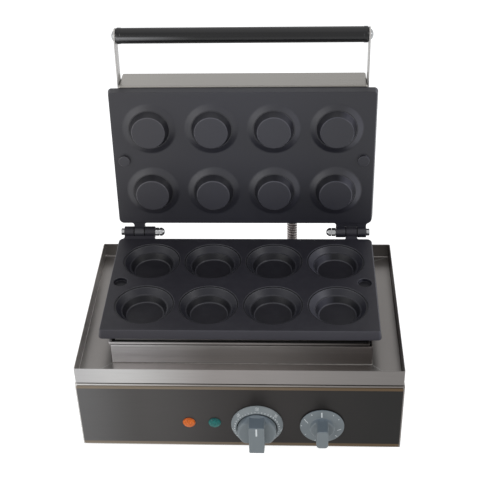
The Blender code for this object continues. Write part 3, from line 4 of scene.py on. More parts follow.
import bmesh
import bpy
import numpy as np
from mathutils import Matrix, Vector
from mathutils.geometry import delaunay_2d_cdt


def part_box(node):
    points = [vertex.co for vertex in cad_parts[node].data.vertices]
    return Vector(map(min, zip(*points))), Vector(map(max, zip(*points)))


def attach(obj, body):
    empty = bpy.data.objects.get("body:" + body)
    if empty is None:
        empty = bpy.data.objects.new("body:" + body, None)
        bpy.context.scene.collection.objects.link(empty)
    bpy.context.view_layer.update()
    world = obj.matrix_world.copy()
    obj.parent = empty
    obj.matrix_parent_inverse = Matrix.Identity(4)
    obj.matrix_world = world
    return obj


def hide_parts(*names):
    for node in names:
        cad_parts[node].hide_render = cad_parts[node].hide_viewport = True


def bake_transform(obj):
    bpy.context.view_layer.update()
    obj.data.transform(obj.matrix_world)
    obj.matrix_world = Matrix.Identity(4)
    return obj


# The look of the countertop egg tart maker, standing open. Lengths are metres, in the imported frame:
# X to the right, Y away from the user, Z up. The lid's pieces are worked out shut, then turned open.

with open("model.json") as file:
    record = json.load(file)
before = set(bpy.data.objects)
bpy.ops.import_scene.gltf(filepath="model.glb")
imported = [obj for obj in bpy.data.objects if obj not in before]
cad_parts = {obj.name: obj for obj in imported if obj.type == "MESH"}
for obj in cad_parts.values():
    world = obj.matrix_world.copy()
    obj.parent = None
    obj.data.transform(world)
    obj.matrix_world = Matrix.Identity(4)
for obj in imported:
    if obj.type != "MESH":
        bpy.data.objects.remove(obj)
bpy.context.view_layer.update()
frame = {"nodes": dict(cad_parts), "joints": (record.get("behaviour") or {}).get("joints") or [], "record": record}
BODY_OF = {node: body for body, nodes in frame["record"]["behaviour"]["bodies"].items() for node in nodes}
HINGE = next(joint for joint in frame["joints"] if joint["name"] == "lid_hinge")
HINGE_Y, HINGE_Z = HINGE["pos_m"][1:]
OPEN_ANGLE = math.radians(HINGE["range_deg"][1])


def opened(points, angle=OPEN_ANGLE):
    """Points turned about the hinge's axis: a plane rotation of Y and Z, which opens the lid by default."""
    points = np.array(points, float).reshape(-1, 3)
    y, z = points[:, 1] - HINGE_Y, points[:, 2] - HINGE_Z
    cos, sin = math.cos(angle), math.sin(angle)
    return np.stack([points[:, 0], HINGE_Y + y * cos + z * sin, HINGE_Z - y * sin + z * cos], axis=1)


def mesh_points(mesh):
    """A mesh's points as rows of three numbers."""
    points = np.empty(len(mesh.vertices) * 3, np.float32)
    mesh.vertices.foreach_get("co", points)
    return points.reshape(-1, 3)


def span(node, shut=False):
    """The lowest and highest corners of a node as it stands, or of a lid's node with the lid shut."""
    if not shut:
        return np.array([list(corner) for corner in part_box(node)])
    points = opened(mesh_points(frame["nodes"][node].data), -OPEN_ANGLE)
    return np.array([points.min(axis=0), points.max(axis=0)])


# Boxes of the sheet metal pieces
BASE, PANEL, TRAY, NECK = (span(node) for node in ("base_shell", "front_panel", "drip_tray", "heater_neck"))
COVER = span("upper_cover", True)
SHEET = 0.0012
GAP = 0.0003
PANEL_Y = PANEL[0][1]

# Plates and cups
CUP_PITCH_X = 0.08286
CUP_PITCH_Y = 0.0934
CUP_RIM = 0.0385
CUP_STEP = 0.0012
CUP_RING = 0.0366
CUP_LEDGE = 0.0303
CUP_THROAT = 0.0285
CUP_THROAT_DEPTH = 0.0084
CUP_FLOOR = 0.0243
CUP_DEPTH = 0.0171
CUP_WALL = 0.003
CUP_SHELL = 0.0264
CUP_SHELL_DEPTH = 0.009
CUP_EDGE_Y = 0.01305
STUD_SHOULDER = 0.0353
STUD_NECK = 0.0265
STUD_NECK_HEIGHT = 0.0035
STUD_TIP = 0.0219
STUD_HEIGHT = 0.0149
PLATE_DRAFT = 0.0021
PLATE_EDGE = 0.0014
PLATE_CORNERS = (0.0035, 0.0035, 0.0066, 0.0066)
PLATE_LOW = span("lower_plate")[0] + PLATE_DRAFT
PLATE_HALF = -PLATE_LOW[0]
PLATE_FRONT = PLATE_LOW[1]
PLATE_MIDDLE = PLATE_FRONT + CUP_EDGE_Y + CUP_RIM + CUP_PITCH_Y / 2
PLATE_BACK = 2 * PLATE_MIDDLE - PLATE_FRONT
PLATE = ((-PLATE_HALF, PLATE_FRONT), (PLATE_HALF, PLATE_BACK))
LOWER_FACE = HINGE_Z - 0.00157
LOWER_BACK = LOWER_FACE - 0.0128
UPPER_FACE = LOWER_FACE + 0.001
UPPER_BACK = UPPER_FACE + 0.0118
FACE_THICKNESS = 0.0075
LOWER_POCKET_INSET = 0.0184
UPPER_POCKET_INSET = 0.0254
POCKET_INSET_Y = 0.0085
POCKET_CORNER = 0.006
GUIDE_PIN = 0.00775
GUIDE_PIN_HEIGHT = 0.004
GUIDE_HOLE = 0.009
GUIDE_HOLE_DEPTH = 0.005
CUPS = [((column - 1.5) * CUP_PITCH_X, PLATE_MIDDLE + (row - 0.5) * CUP_PITCH_Y)
        for row in range(2) for column in range(4)]
GUIDES = [(side * (PLATE_HALF - 0.0144), PLATE_MIDDLE) for side in (-1, 1)]
# Shares of depth: on the plate's face, how far past a rim they reach, and what counts as level with it
EDGE_SHARE = 0.05
SPOT_REACH = 0.0012
LEVEL = 0.00002

# Hinges, as (owner, outer x, inner x) from the outside in, by side
STACKS = {
    -1: (("lower", 0.16919, 0.15599), ("upper", 0.15559, 0.14049), ("lower", 0.14009, 0.12619)),
    1: (("upper", 0.16849, 0.15649), ("lower", 0.15609, 0.13989), ("upper", 0.13819, 0.12659)),
}
BARREL_RADIUS = 0.0075
BARREL_HOLE = 0.0033
BARREL_ROUND = 0.0005
# The middle barrels are trimmed to make room for black rings, dark pieces that stand in for shade between the
# barrels.
BARREL_TRIM = 0.0009
WASHER_RADIUS = BARREL_RADIUS - 0.0003
WASHER_SLIP = 0.00004
WEB_FILLET = 0.0034
WEB_STEP = 0.0002
WEB_SUNK = 0.0004
WEB_CLEARANCE = 0.0008
BRIDGE_CLEARANCE = 0.00006
BRIDGE_EDGE = 0.0002
LOWER_BRIDGE_STEP = 0.0004
UPPER_BRIDGE_STEP = 0.0018
BRIDGE_SUNK = 0.001
BOSS_RADIUS = 0.0074
BOLT_SHANK = 0.003
BOLT_HEAD = 0.005
BOLT_HEAD_HEIGHT = 0.0044
BOLT_SOCKET = 0.0027
BOLT_SOCKET_FLOOR = 0.0024
NUT_RADIUS = 0.0058
CAP_HEX = 0.0042
CAP_DOME = 0.0048

# Sheet metal details
TRAY_FOLD = 0.002
TRAY_DRIP = 0.0009
TRAY_DRIP_INSET = 0.0022
TRAY_DRIP_BACK = 0.003
TRAY_FLANGE = 0.012
TAIL_HOLE = 0.00675
SENSOR_X = 0.074
SENSOR_HOLE = 0.0041
NECK_LIP = 0.0036
NECK_LIP_REACH = 0.0008
NECK_LIP_BACK = 0.003
NECK_CORNER = 0.003
NECK_GROOVE = 0.001
NECK_CHANNEL = 0.013
NECK_SLOT_END = 0.0078
NECK_WELD = 0.0012
NECK_BODY = NECK + [(0.0047, 0, 0), (0, 0, 0)]
NECK_RIM = NECK + [(0.0028, 0, 0), (-0.004, 0, 0)]
SEAM_WIDTH = 0.0007
SEAM_HEIGHT = 0.00012
SUNK = 0.0002
WELD_SUNK = 0.0004
ROPE_RISE = 0.0014
ROPE_SUNK = 0.0026
STRIP_SUNK = 0.002
SEAL_THICKNESS = 0.001
SEAL_SLIP = 0.0001
COVER_ROUND = 0.0025
COVER_FLANGE = 0.012
COVER_FLAT = 0.02
GRIP_BORE = 0.0043
GRIP_STEP = 0.0004
GRIP_END = 0.006
GRIP_ROUND = 0.0022
ARM_SLIP = 0.00005
ARM_FLAT = 0.004
# Radius and height of each domed head
GRIP_SCREW = (0.0069, 0.0034)
ARM_SCREW = (0.0042, 0.0022)
SCREW_SHANK = 0.0019
# The angles a head's arc leaves out at its rim and its top, and its recess as shares of width and height
DOME_START = 0.12
DOME_STOP = 0.45
DOME_RECESS = 0.86
DOME_FLOOR = 0.45

# Controls, as heights in front of the panel
TEMP_PLACE = np.array([0.0219, 0.0495])
RING_RADIUS = 0.033
RING_INNER = 0.0261
RING_FRONT = 0.0082
RING_SHOULDER = 0.0288
RING_SHOULDER_FRONT = 0.0077
RING_EDGE = 0.0013
KNOB_RADIUS = 0.0248
KNOB_BACK = 0.0016
KNOB_FRONT = 0.017
KNOB_ROUND = 0.0034
KNOB_EAR = 0.0158
KNOB_EAR_BLEND = 0.0006
KNOB_EAR_SLOPE = 0.8
KNOB_GROOVE = 0.0012
KNOB_GROOVE_FRONT = 0.0086
KNOB_GROOVE_FALL = 0.0004
KNOB_BORE = 0.0033
KNOB_BORE_END = 0.009
TEMP_WING = (0.0212, 0.0446, 0.0293)
TEMP_WING_CORNER = 0.0018
TIMER_PLACE = np.array([0.1042, 0.049])
SKIRT_RADIUS = 0.028
SKIRT_BACK = 0.0012
SKIRT_FRONT = 0.0024
SKIRT_RISE = 0.0012
HUB_RADIUS = 0.0162
HUB_FRONT = 0.009
HUB_LEAN = 0.0014
TIMER_WING = (0.0168, 0.0298, 0.0265)
TIMER_WING_CORNER = 0.0048
WING_TAPER = 0.0011
WING_END_TAPER = 0.0003
WING_ROUND = 0.001
LENS_RIM = 0.0003
LENS_FOOT = 0.0008
MARK_HEIGHT = 0.00006
MARK_FOOT = -0.0003
POINTER = (0.0021, 0.0125)
POINTER_STEP = 0.0006
SCALE_DOTS = 36
SCALE_SWEEP = math.radians(300)
DOT_RADIUS = 0.0008
DOT_RING = RING_INNER + 0.0022
NUMBER_SIZE = 0.0034
NUMBER_RING = RING_INNER + 0.0047
NUMBERS = 7
NUMBER_STEP = 50
# Print on the timer's skirt: (start degrees, start radius, end degrees, end radius, width)
TIMER_MARKS = (
    (92, 0.0246, 92, 0.017, 0.0017), (123, 0.0252, 123, 0.0234, 0.001), (150, 0.0262, 160, 0.019, 0.0008),
    (177, 0.027, 177, 0.0256, 0.0012), (214, 0.0262, 214, 0.0244, 0.0008), (251, 0.0268, 251, 0.025, 0.001),
    (285, 0.0262, 285, 0.0244, 0.0008), (318, 0.0262, 318, 0.0226, 0.0008), (343, 0.02, 351, 0.0246, 0.0009),
    (32, 0.0252, 32, 0.0236, 0.0008), (55, 0.0252, 55, 0.0236, 0.0008),
)
STRIPE_WIDTH = 0.0045

# Ribbed hose, from the base's gland round to the lid's, the glands and the feet
HOSE_X = 0.0658
HOSE_START_Z = 0.048
HOSE_RADIUS = 0.00725
HOSE_RIB = 0.0011
HOSE_RIB_POWER = 1.6
HOSE_PITCH = 0.0039
HOSE_STRAIGHT = 0.0148
HOSE_BASE_PULL = 0.062
HOSE_LID_PULL = 0.046
HOSE_RISE = 0.0223
HOSE_BORE = 0.0046
GLAND_RADIUS = 0.0115
GLAND_HEX = 0.006
GLAND_COLLAR = 0.0088
GLAND_END = 0.012
GLAND_STUB = 0.007
GLAND_STUB_END = -0.008
FOOT_TREAD = 0.0095
FOOT_HOLLOW = 0.0045
FOOT_HOLLOW_DEPTH = 0.003

# Camera, solved from the photograph's edges, and the studio
CAMERA_PLACE = (0.0653, PANEL_Y - 0.9662, 1.03545)
CAMERA_PITCH = math.radians(35.771)
CAMERA_YAW = math.radians(-3.411)
CAMERA_ROLL = math.radians(-1.86)
CAMERA_LENS = 80.33
# Each lamp's place, aim, size and power
LAMPS = {
    "key lamp": ((-1.2, -1.1, 0.75), (0, 0, 0.2), (1.6, 1.3), 12.5),
    "fill lamp": ((1.5, -0.6, 1.15), (0, 0, 0.15), (0.8, 0.8), 9),
    "top lamp": ((0.1, 0.2, 2.0), (0, 0, 0.1), (1.6, 1.6), 3),
}
SURROUND = (0.96, 0.98, 1, 1)
SURROUND_STRENGTH = 0.42
FLOOR_HALF = 6.0
FLOOR_GLOW = 0.74


def place_camera():
    """The camera is turned by its yaw about the upright, looks down by its pitch and rolls about its line."""
    data = bpy.data.cameras.new("camera")
    data.lens = CAMERA_LENS
    data.sensor_width = 36
    camera = bpy.data.objects.new("camera", data)
    turns = ((-CAMERA_YAW, "Z"), (math.pi / 2 - CAMERA_PITCH, "X"), (CAMERA_ROLL, "Z"))
    camera.matrix_world = Matrix.Translation(CAMERA_PLACE)
    for angle, axis in turns:
        camera.matrix_world = camera.matrix_world @ Matrix.Rotation(angle, 4, axis)
    bpy.context.scene.collection.objects.link(camera)
    bpy.context.scene.camera = camera


def place_lamp(name, place, aim, size, power):
    """A soft rectangular lamp that looks from its place to its aim."""
    data = bpy.data.lights.new(name, "AREA")
    data.shape = "RECTANGLE"
    data.size, data.size_y = size
    data.energy = power
    lamp = bpy.data.objects.new(name, data)
    lamp.location = place
    lamp.rotation_euler = (Vector(aim) - Vector(place)).to_track_quat("-Z", "Y").to_euler()
    bpy.context.scene.collection.objects.link(lamp)


# Nodes and finishes


def rgb(code):
    """A colour as rendered, from its eight-bit hexadecimal code to linear light."""
    values = [int(code[start : start + 2], 16) / 255 for start in (0, 2, 4)]
    linear = [v / 12.92 if v <= 0.04045 else ((v + 0.055) / 1.055) ** 2.4 for v in values]
    return (*linear, 1)


class Wiring:
    """A node tree, with short ways to add nodes to it and wire them."""

    def __init__(self, tree):
        self.tree = tree

    def connect(self, value, socket):
        """Link a socket to another, or give it a plain value or a colour by its code."""
        if isinstance(value, bpy.types.NodeSocket):
            self.tree.links.new(value, socket)
        else:
            socket.default_value = rgb(value) if isinstance(value, str) else value

    def node(self, kind, inputs=None, **settings):
        """A node with its settings, and its inputs by name or number. It puts out the node's outputs."""
        node = self.tree.nodes.new("ShaderNode" + kind)
        for name, value in settings.items():
            setattr(node, name, value)
        for name, value in (inputs or {}).items():
            self.connect(value, node.inputs[name])
        return node.outputs

    def group(self, group, inputs=None):
        """A shared group, placed in this tree with its own values."""
        return self.node("Group", inputs, node_tree=group)

    def math(self, operation, *values):
        """One arithmetic step on its values."""
        return self.node("Math", dict(enumerate(values)), operation=operation)[0]

    def blend(self, factor, first, second, blend="MIX"):
        """A colour between two others by a factor, or one laid on the other."""
        return self.node("Mix", {0: factor, 6: first, 7: second}, data_type="RGBA", blend_type=blend)[2]

    def share(self, value, low, high):
        """How far a value is from a low limit to a high one, held between 0 and 1."""
        return self.node("MapRange", {"Value": value, "From Min": low, "From Max": high})[0]

    def ramp(self, share, stops, interpolation="LINEAR"):
        """A colour by share, from stops of (share, code) in rising order."""
        colour = self.node("ValToRGB", {"Fac": share})["Color"]
        band = colour.node.color_ramp
        band.interpolation = interpolation
        for index, (place, code) in enumerate((stops[0], stops[-1], *stops[1:-1])):
            stop = band.elements[index] if index < 2 else band.elements.new(place)
            stop.position, stop.color = place, rgb(code)
        return colour

    def place(self):
        """Each point's place in the object's own frame."""
        return self.node("TexCoord")["Object"]

    def axis(self, axis):
        """Each point's place along one axis."""
        return self.node("SeparateXYZ", {0: self.place()})[axis]

    def normal(self, axis):
        """How far a surface faces along one axis, from -1 to 1."""
        return self.node("SeparateXYZ", {0: self.node("NewGeometry")["Normal"]})[axis]

    def seen(self):
        """One for rays from the camera and for mirrored or passing ones, none for light on its way."""
        path = self.node("LightPath")
        seen = self.math("MAXIMUM", path["Is Camera Ray"], path["Is Transmission Ray"])
        return self.math("MAXIMUM", seen, path["Is Glossy Ray"])


class Group(Wiring):
    """A shader node group whose named inputs are made from their defaults."""

    def __init__(self, name, inputs):
        super().__init__(bpy.data.node_groups.new(name, "ShaderNodeTree"))
        for label, default in inputs.items():
            kind = {1: "Float", 3: "Vector", 4: "Color"}[np.size(default)]
            socket = self.tree.interface.new_socket(label, in_out="INPUT", socket_type="NodeSocket" + kind)
            socket.default_value = default
        self.inputs = self.tree.nodes.new("NodeGroupInput").outputs
        self.outputs = self.tree.nodes.new("NodeGroupOutput").inputs

    def put_out(self, label, value, kind="Float"):
        """Add a named output and feed it."""
        self.tree.interface.new_socket(label, in_out="OUTPUT", socket_type="NodeSocket" + kind)
        self.connect(value, self.outputs[label])
        return self.tree


GREY = (0.5, 0.5, 0.5, 1)
GRAIN_INPUTS = {
    "Colour": GREY, "Grain Scale": (400, 400, 400), "Grain Shade": 0.1, "Cloud Scale": 12, "Cloud Shade": 0.1,
    "Roughness": 0.4, "Roughness Spread": 0.1,
}


def make_grain_group():
    """Grain stretched by a scale for each axis, with broad clouds over it: colour, roughness and height."""
    group = Group("grain and clouds", GRAIN_INPUTS)
    given, place = group.inputs, group.place()
    stretched = group.node("VectorMath", {0: place, 1: given["Grain Scale"]}, operation="MULTIPLY")[0]
    grain = group.node("TexNoise", {"Vector": stretched, "Scale": 1, "Detail": 3})["Fac"]
    clouds = group.node("TexNoise", {"Vector": place, "Scale": given["Cloud Scale"], "Detail": 4})["Fac"]
    grain_shift = group.math("SUBTRACT", grain, 0.5)
    cloud_shift = group.math("SUBTRACT", clouds, 0.5)
    grain_part = group.math("MULTIPLY_ADD", grain_shift, given["Grain Shade"], 1.0)
    cloud_part = group.math("MULTIPLY_ADD", cloud_shift, given["Cloud Shade"], grain_part)
    shade = group.node("VectorMath", {0: given["Colour"], "Scale": cloud_part}, operation="SCALE")[0]
    both = group.math("ADD", grain_shift, cloud_shift)
    rough = group.math("MULTIPLY_ADD", both, given["Roughness Spread"], given["Roughness"])
    group.put_out("Colour", shade, "Color")
    group.put_out("Roughness", rough)
    return group.put_out("Height", grain)


def make_dust_group():
    """Where dust settles: faces that point up, broken by fine noise. It puts out a mask."""
    group = Group("settled dust", {"Amount": 0.2, "Scale": 60})
    given = group.inputs
    noise = group.node("TexNoise", {"Vector": group.place(), "Scale": given["Scale"], "Detail": 5})["Fac"]
    mask = group.math("MULTIPLY", group.share(group.normal("Z"), 0.3, 1.0), group.share(noise, 0.35, 0.75))
    return group.put_out("Mask", group.math("MULTIPLY", mask, given["Amount"]))


def make_facing_group():
    """How far a face looks up, from its normal: none when upright, all when level. It puts out a mask."""
    group = Group("facing up", {})
    return group.put_out("Mask", group.share(group.normal("Z"), 0.3, 0.95))


def make_side_group():
    """How far a place is from the machine's left side to its right one. It puts out that share."""
    group = Group("left to right", {})
    return group.put_out("Share", group.share(group.axis("X"), BASE[0][0], BASE[1][0]))


def make_gleam_group():
    """A painted highlight: slopes that look to the right take the tint, more so towards the right side. It puts
    out a colour.
    """
    group = Group("gleam at the right", {"Colour": GREY, "Tint": GREY, "Side": 0.5})
    slopes = ((0.12, "000000"), (0.5, "ffffff"), (0.74, "ffffff"), (0.92, "606060"))
    facing = group.ramp(group.normal("X"), slopes)
    right = group.ramp(group.inputs["Side"], ((0.5, "000000"), (0.8, "ffffff")), "EASE")
    both = group.blend(1.0, facing, right, "MULTIPLY")
    return group.put_out("Colour", group.blend(both, group.inputs["Colour"], group.inputs["Tint"]), "Color")


GRAIN = make_grain_group()
DUST = make_dust_group()
FACING = make_facing_group()
SIDE = make_side_group()
GLEAM = make_gleam_group()


class Finish(Wiring):
    """A material around one Principled shader, whose plain values sit on the shader's own sockets."""

    def __init__(self, name, slot, **sockets):
        self.slot = slot
        self.material = bpy.data.materials.new(name)
        self.material.use_nodes = True
        super().__init__(self.material.node_tree)
        self.shader = self.tree.nodes["Principled BSDF"]
        for socket, value in sockets.items():
            self.feed(socket.replace("_", " "), value)

    def feed(self, socket, value):
        """Wire a value into one of the shader's inputs."""
        self.connect(value, self.shader.inputs[socket])

    def grain(self, colour, scale, shade, clouds, cloud_shade, roughness, spread, bump, depth=0.00004):
        """Wire the grain group into the shader, with a bump from its height. One scale may serve all axes."""
        scale = scale if isinstance(scale, tuple) else (scale,) * 3
        values = (colour, scale, shade, clouds, cloud_shade, roughness, spread)
        outputs = self.group(GRAIN, dict(zip(GRAIN_INPUTS, values)))
        self.feed("Base Color", outputs["Colour"])
        self.feed("Roughness", outputs["Roughness"])
        self.bump(bump, depth, outputs["Height"])
        return outputs["Colour"]

    def bump(self, strength, depth, height):
        """Tilt the shading by a height, with a strength and a depth."""
        self.feed("Normal", self.node("Bump", {"Strength": strength, "Distance": depth, "Height": height})[0])

    def sheen(self, *stops):
        """A painted sheen: a colour that changes from the left side to the right, by stops of (share, code)."""
        return self.ramp(self.group(SIDE)["Share"], stops, "EASE")

    def side_colours(self, codes):
        """A painted sheen of three colours, or of four with the second near the left."""
        codes = codes.split()
        return self.sheen(*zip((0, 0.12, 0.45, 1) if len(codes) > 3 else (0, 0.45, 1), codes))

    def stored(self, name):
        """The number kept under a name for each point."""
        return self.node("Attribute", attribute_name=name)["Fac"]


def make_steel(name, colours, scale, roughness=0.3, *parts):
    """Brushed stainless sheet: fine lines along one axis, and a painted sheen, lighter at the left and darker at
    the right, as light falls from the left.

    Each part past a limit on one axis, given as (colours, axis, comparison, limit), has a painted sheen of its
    own.
    """
    finish = Finish(name, "steel", Metallic=1.0)
    colour = finish.side_colours(colours)
    for others, axis, comparison, limit in parts:
        inside = finish.math(comparison, finish.axis(axis), limit)
        colour = finish.blend(inside, colour, finish.side_colours(others))
    finish.grain(colour, scale, 0.2, 9, 0.14, roughness, 0.12, 0.25)
    return finish


def make_cast(name, specular, dust, stops, near, far):
    """Non-stick coating over cast aluminium: a fine orange peel, with painted light and shade laid on its colour.

    The stops give its tone by share of a cup's depth or a stud's height, as painted shade on walls and hollows and
    as painted highlights with some rubbed wear on rims and edges.
    Near and far tint its two sides as a painted sheen, and slopes that look to the right get a painted highlight
    towards that side.
    """
    finish = Finish(name, "cast", Metallic=0.0, Specular_IOR_Level=specular)
    tone = finish.ramp(finish.stored("depth share"), stops)
    colour = finish.blend(1.0, tone, finish.sheen((0, near), (0.5, "ffffff"), (1, far)), "MULTIPLY")
    # A painted highlight on slopes that look to the right.
    inputs = {"Colour": colour, "Tint": "41414b", "Side": finish.group(SIDE)["Share"]}
    colour = finish.group(GLEAM, inputs)["Colour"]
    colour = finish.grain(colour, 700, 0.25, 14, 0.35, 0.42, 0.16, 0.25, 0.00003)
    mask = finish.group(DUST, {"Amount": dust, "Scale": 90})["Mask"]
    finish.feed("Base Color", finish.blend(mask, colour, "4a4a4f"))
    return finish


def make_panel():
    """Graphite overlay, brushed along X, with a bronze stripe near its upper and lower edges; both carry a painted
    sheen, pale at the left and dark at the right.
    """
    finish = Finish("graphite overlay", "panel", Metallic=0.3, Specular_IOR_Level=0.2)
    field = finish.sheen((0, "616060"), (0.2, "4b4948"), (0.55, "2f2c2b"), (1, "1d1c1b"))
    bronze = finish.sheen((0, "7f7466"), (1, "5c4a34"))
    low, high = PANEL[0][2], PANEL[1][2]
    away = finish.math("ABSOLUTE", finish.math("SUBTRACT", finish.axis("Z"), (low + high) / 2))
    inside = finish.math("GREATER_THAN", away, (high - low) / 2 - STRIPE_WIDTH)
    colour = finish.blend(inside, field, bronze)
    finish.grain(colour, (25, 600, 600), 0.12, 8, 0.12, 0.36, 0.1, 0.15, 0.00003)
    return finish


def make_plain(name, slot, code, roughness, metallic=0.0, grain=700, shade=0.1, bump=0.2, **sockets):
    """A moulded or plated finish: even fine grain with a little variation of tone and gloss."""
    finish = Finish(name, slot, Metallic=metallic, **sockets)
    finish.grain(code, grain, shade, 25, shade, roughness, 0.1, bump)
    return finish


def make_knob(name, colour, above):
    """Moulded knob plastic, with painted shade: darker and bluer on the faces that look up."""
    finish = Finish(name, "knob", Specular_IOR_Level=0.3)
    # Painted shade on the faces that look up.
    mixed = finish.blend(finish.group(FACING)["Mask"], colour, above)
    finish.grain(mixed, 1400, 0.08, 25, 0.08, 0.4, 0.1, 0.2)
    return finish


def make_grip_finish(painted_highlight):
    """Black plastic, painted paler underneath as a reflection, with a painted highlight along its front that fades
    to the right.
    """
    finish = Finish("black grip plastic", "grip", Specular_IOR_Level=0.35)
    level = finish.share(finish.normal("Z"), -1, 1)
    # Painted reflection: paler on faces that look down.
    black = finish.ramp(level, ((0, "242426"), (0.3, "1d1d1f"), (0.44, "0d0d0f")))
    # A painted highlight across faces that look a little up, fading to the right.
    streak = finish.ramp(level, ((0.34, "000000"), (0.56, "ffffff"), (0.68, "000000")), "EASE")
    left = finish.sheen((0.08, "ffffff"), (0.38, "000000"))
    mixed = finish.blend(finish.blend(1.0, streak, left, "MULTIPLY"), black, painted_highlight)
    finish.grain(mixed, 500, 0.2, 25, 0.2, 0.22, 0.1, 0.1)
    return finish


def make_hose_finish(front, sides, groove):
    """Plated strip with painted light and shade: darker along the hose's front and back than at its sides, and
    painted shade between its ribs.
    """
    finish = Finish("pale hose steel", "bright", Metallic=0.6)
    painted_side_light = finish.share(finish.math("ABSOLUTE", finish.normal("X")), 0.2, 0.9)
    mixed = finish.blend(finish.stored("rib share"), groove, finish.blend(painted_side_light, front, sides))
    finish.grain(mixed, 600, 0.15, 25, 0.15, 0.5, 0.1, 0.1)
    return finish


def make_lens(name, slot, colour, dark):
    """A tinted lens with a speckle of small prisms inside, and painted shade where it looks up."""
    finish = Finish(name, slot, Roughness=0.2, IOR=1.45, Specular_IOR_Level=0.25)
    cells = finish.node("TexVoronoi", {"Vector": finish.place(), "Scale": 620})["Distance"]
    speckled = finish.blend(cells, colour, dark)
    finish.feed("Base Color", finish.blend(finish.group(FACING)["Mask"], speckled, dark))
    finish.bump(0.7, 0.0004, cells)
    return finish


SHEET_GRAIN = (18, 500, 900)
# Each steel's colours are a painted sheen from left to right, paler at the left where the lamp's light falls.
STEEL_SHELL = make_steel("steel of the base", "bfbdbb 8f8b88 74706d", SHEET_GRAIN)
# Painted light on the tray: its front wall has a painted sheen of its own, bright at the left and dark at the
# right, and the inside of its left wall is painted paler where light falls on it.
PAINTED_SHEEN_TRAY_FRONT = ("a4a3a3 adacab 827e7c 6c6967", "Y", "LESS_THAN", TRAY[0][1] + SHEET / 2)
PAINTED_LIGHT_TRAY_LEFT = ("ebe8e5 ebe8e5 ebe8e5", "X", "LESS_THAN", TRAY[0][0] + SHEET + 0.0004)
PAN_GRAIN = (25, 25, 900)
STEEL_TRAY = make_steel("steel of the tray", "827f7d 8a8684 7b7876", PAN_GRAIN, 0.32, PAINTED_LIGHT_TRAY_LEFT, PAINTED_SHEEN_TRAY_FRONT)
# Painted reflection on the neck: its front is near white at the left and dark at the right, and its rolled lip has
# a painted sheen of its own that darkens to the right.
PAINTED_SHEEN_NECK_LIP = ("c4c4c6 a09e9e 726e6c 1f1c1a", "Z", "GREATER_THAN", NECK[1][2] - NECK_LIP)
STEEL_NECK = make_steel("steel of the neck", "fffcff fffdff b8b4b2 766f6c", SHEET_GRAIN, 0.5, PAINTED_SHEEN_NECK_LIP)
STEEL_COVER = make_steel("steel of the cover", "97948f 8f8c88 87847f", (18, 700, 700))
STEEL_ARM = make_plain("steel of the arms", "steel", "b0aeac", 0.4, 0.6, 300, 0.2)
# Tones by share of depth: the dark bands are painted shade on the cups' walls and floors, and the pale bands are
# painted highlights, with some rubbed wear, on rims, ledges, throats and floor edges.
CUP_SHADE_AND_WEAR_TONES = (
    (0, "3b3a41"), (0.05, "232229"), (0.054, "232229"), (0.061, "4a4a50"), (0.078, "4a4a50"),
    (0.088, "18181c"), (0.1175, "18181c"), (0.119, "45454b"), (0.14, "3a3a40"), (0.16, "1a1a22"),
    (0.468, "1a1a22"), (0.5, "303036"), (0.525, "101016"), (0.93, "101016"), (0.957, "38383e"),
    (0.985, "38383e"), (1, "1d1c22"),
)
# Tones by share of height: painted shade on the studs' walls, and painted highlights with some rubbed wear on
# their rims.
STUD_SHADE_AND_WEAR_TONES = (
    (0, "25252d"), (0.05, "25252d"), (0.25, "27272e"), (0.28, "1c1c22"), (0.9, "1c1c22"), (0.947, "5a5a62"),
    (0.985, "4a4a52"), (1, "2c2c34"),
)
CAST_LOWER = make_cast("coated lower plate", 0.3, 0.1, CUP_SHADE_AND_WEAR_TONES, "fffdf8", "ffffff")
CAST_UPPER = make_cast("coated upper plate", 0.5, 0.08, STUD_SHADE_AND_WEAR_TONES, "fffaf0", "acacba")
GRAPHITE = make_panel()
KNOB = make_knob("blue grey knob plastic", "7b8387", "636e77")
RING = make_plain("pale grey scale ring", "knob", "858c8f", 0.45, 0.0, 1400, 0.08, Specular_IOR_Level=0.3)
GRIP = make_grip_finish("808082")
WELD = make_plain("ground weld", "steel", "7d7a77", 0.6, 0.7, 200, 0.4, 0.3)
# Black, for the neck's seals and for the rings that stand in for shade between the hinge's barrels.
SEAL_AND_GAP_SHADE = make_plain("black heat seal", "rubber", "101010", 0.9, 0.0, 900, 0.3, 0.4, Specular_IOR_Level=0.1)
CHROME = make_plain("bright plating", "bright", "9fa0a1", 0.18, 1.0, 500, 0.12, 0.1)
HOSE = make_hose_finish("a09694", "e6e0de", "3c3634")
ZINC = make_plain("dull zinc", "galvanised", "9c9c9b", 0.5, 0.9, 90, 0.35, 0.3)
CERAMIC = make_plain("white insulation", "ceramic", "dcdad2", 0.6, 0.0, 400, 0.08)
RUBBER = make_plain("black rubber", "rubber", "262627", 0.75, 0.0, 900, 0.15, 0.4)
MARKS = make_plain("white print", "knob", "dde2e4", 0.5, 0.0, 900, 0.06, 0.1)
ORANGE = make_lens("orange lens", "lens_orange", "fc8230", "b25018")
GREEN = make_lens("green lens", "lens_green", "1a8079", "0c4a4b")


# Shapes

QUARTER = math.pi / 2
ENDS = (0, -1)
SHARPEST = 0.00002
MERGED = 0.000002
# The small arc on a broken edge, how many steps go round each kind of piece, and what turns too little
EDGE = 0.0004
HOLE_STEPS, GUIDE_STEPS, HEAD_STEPS, BARREL_STEPS, FOOT_STEPS, CUP_STEPS = 24, 32, 36, 40, 48, 64
HOSE_STEPS, NUT_STEPS, GRIP_STEPS, DIAL_STEPS = 40, 72, 72, 96
STRAIGHT = math.radians(89.5)


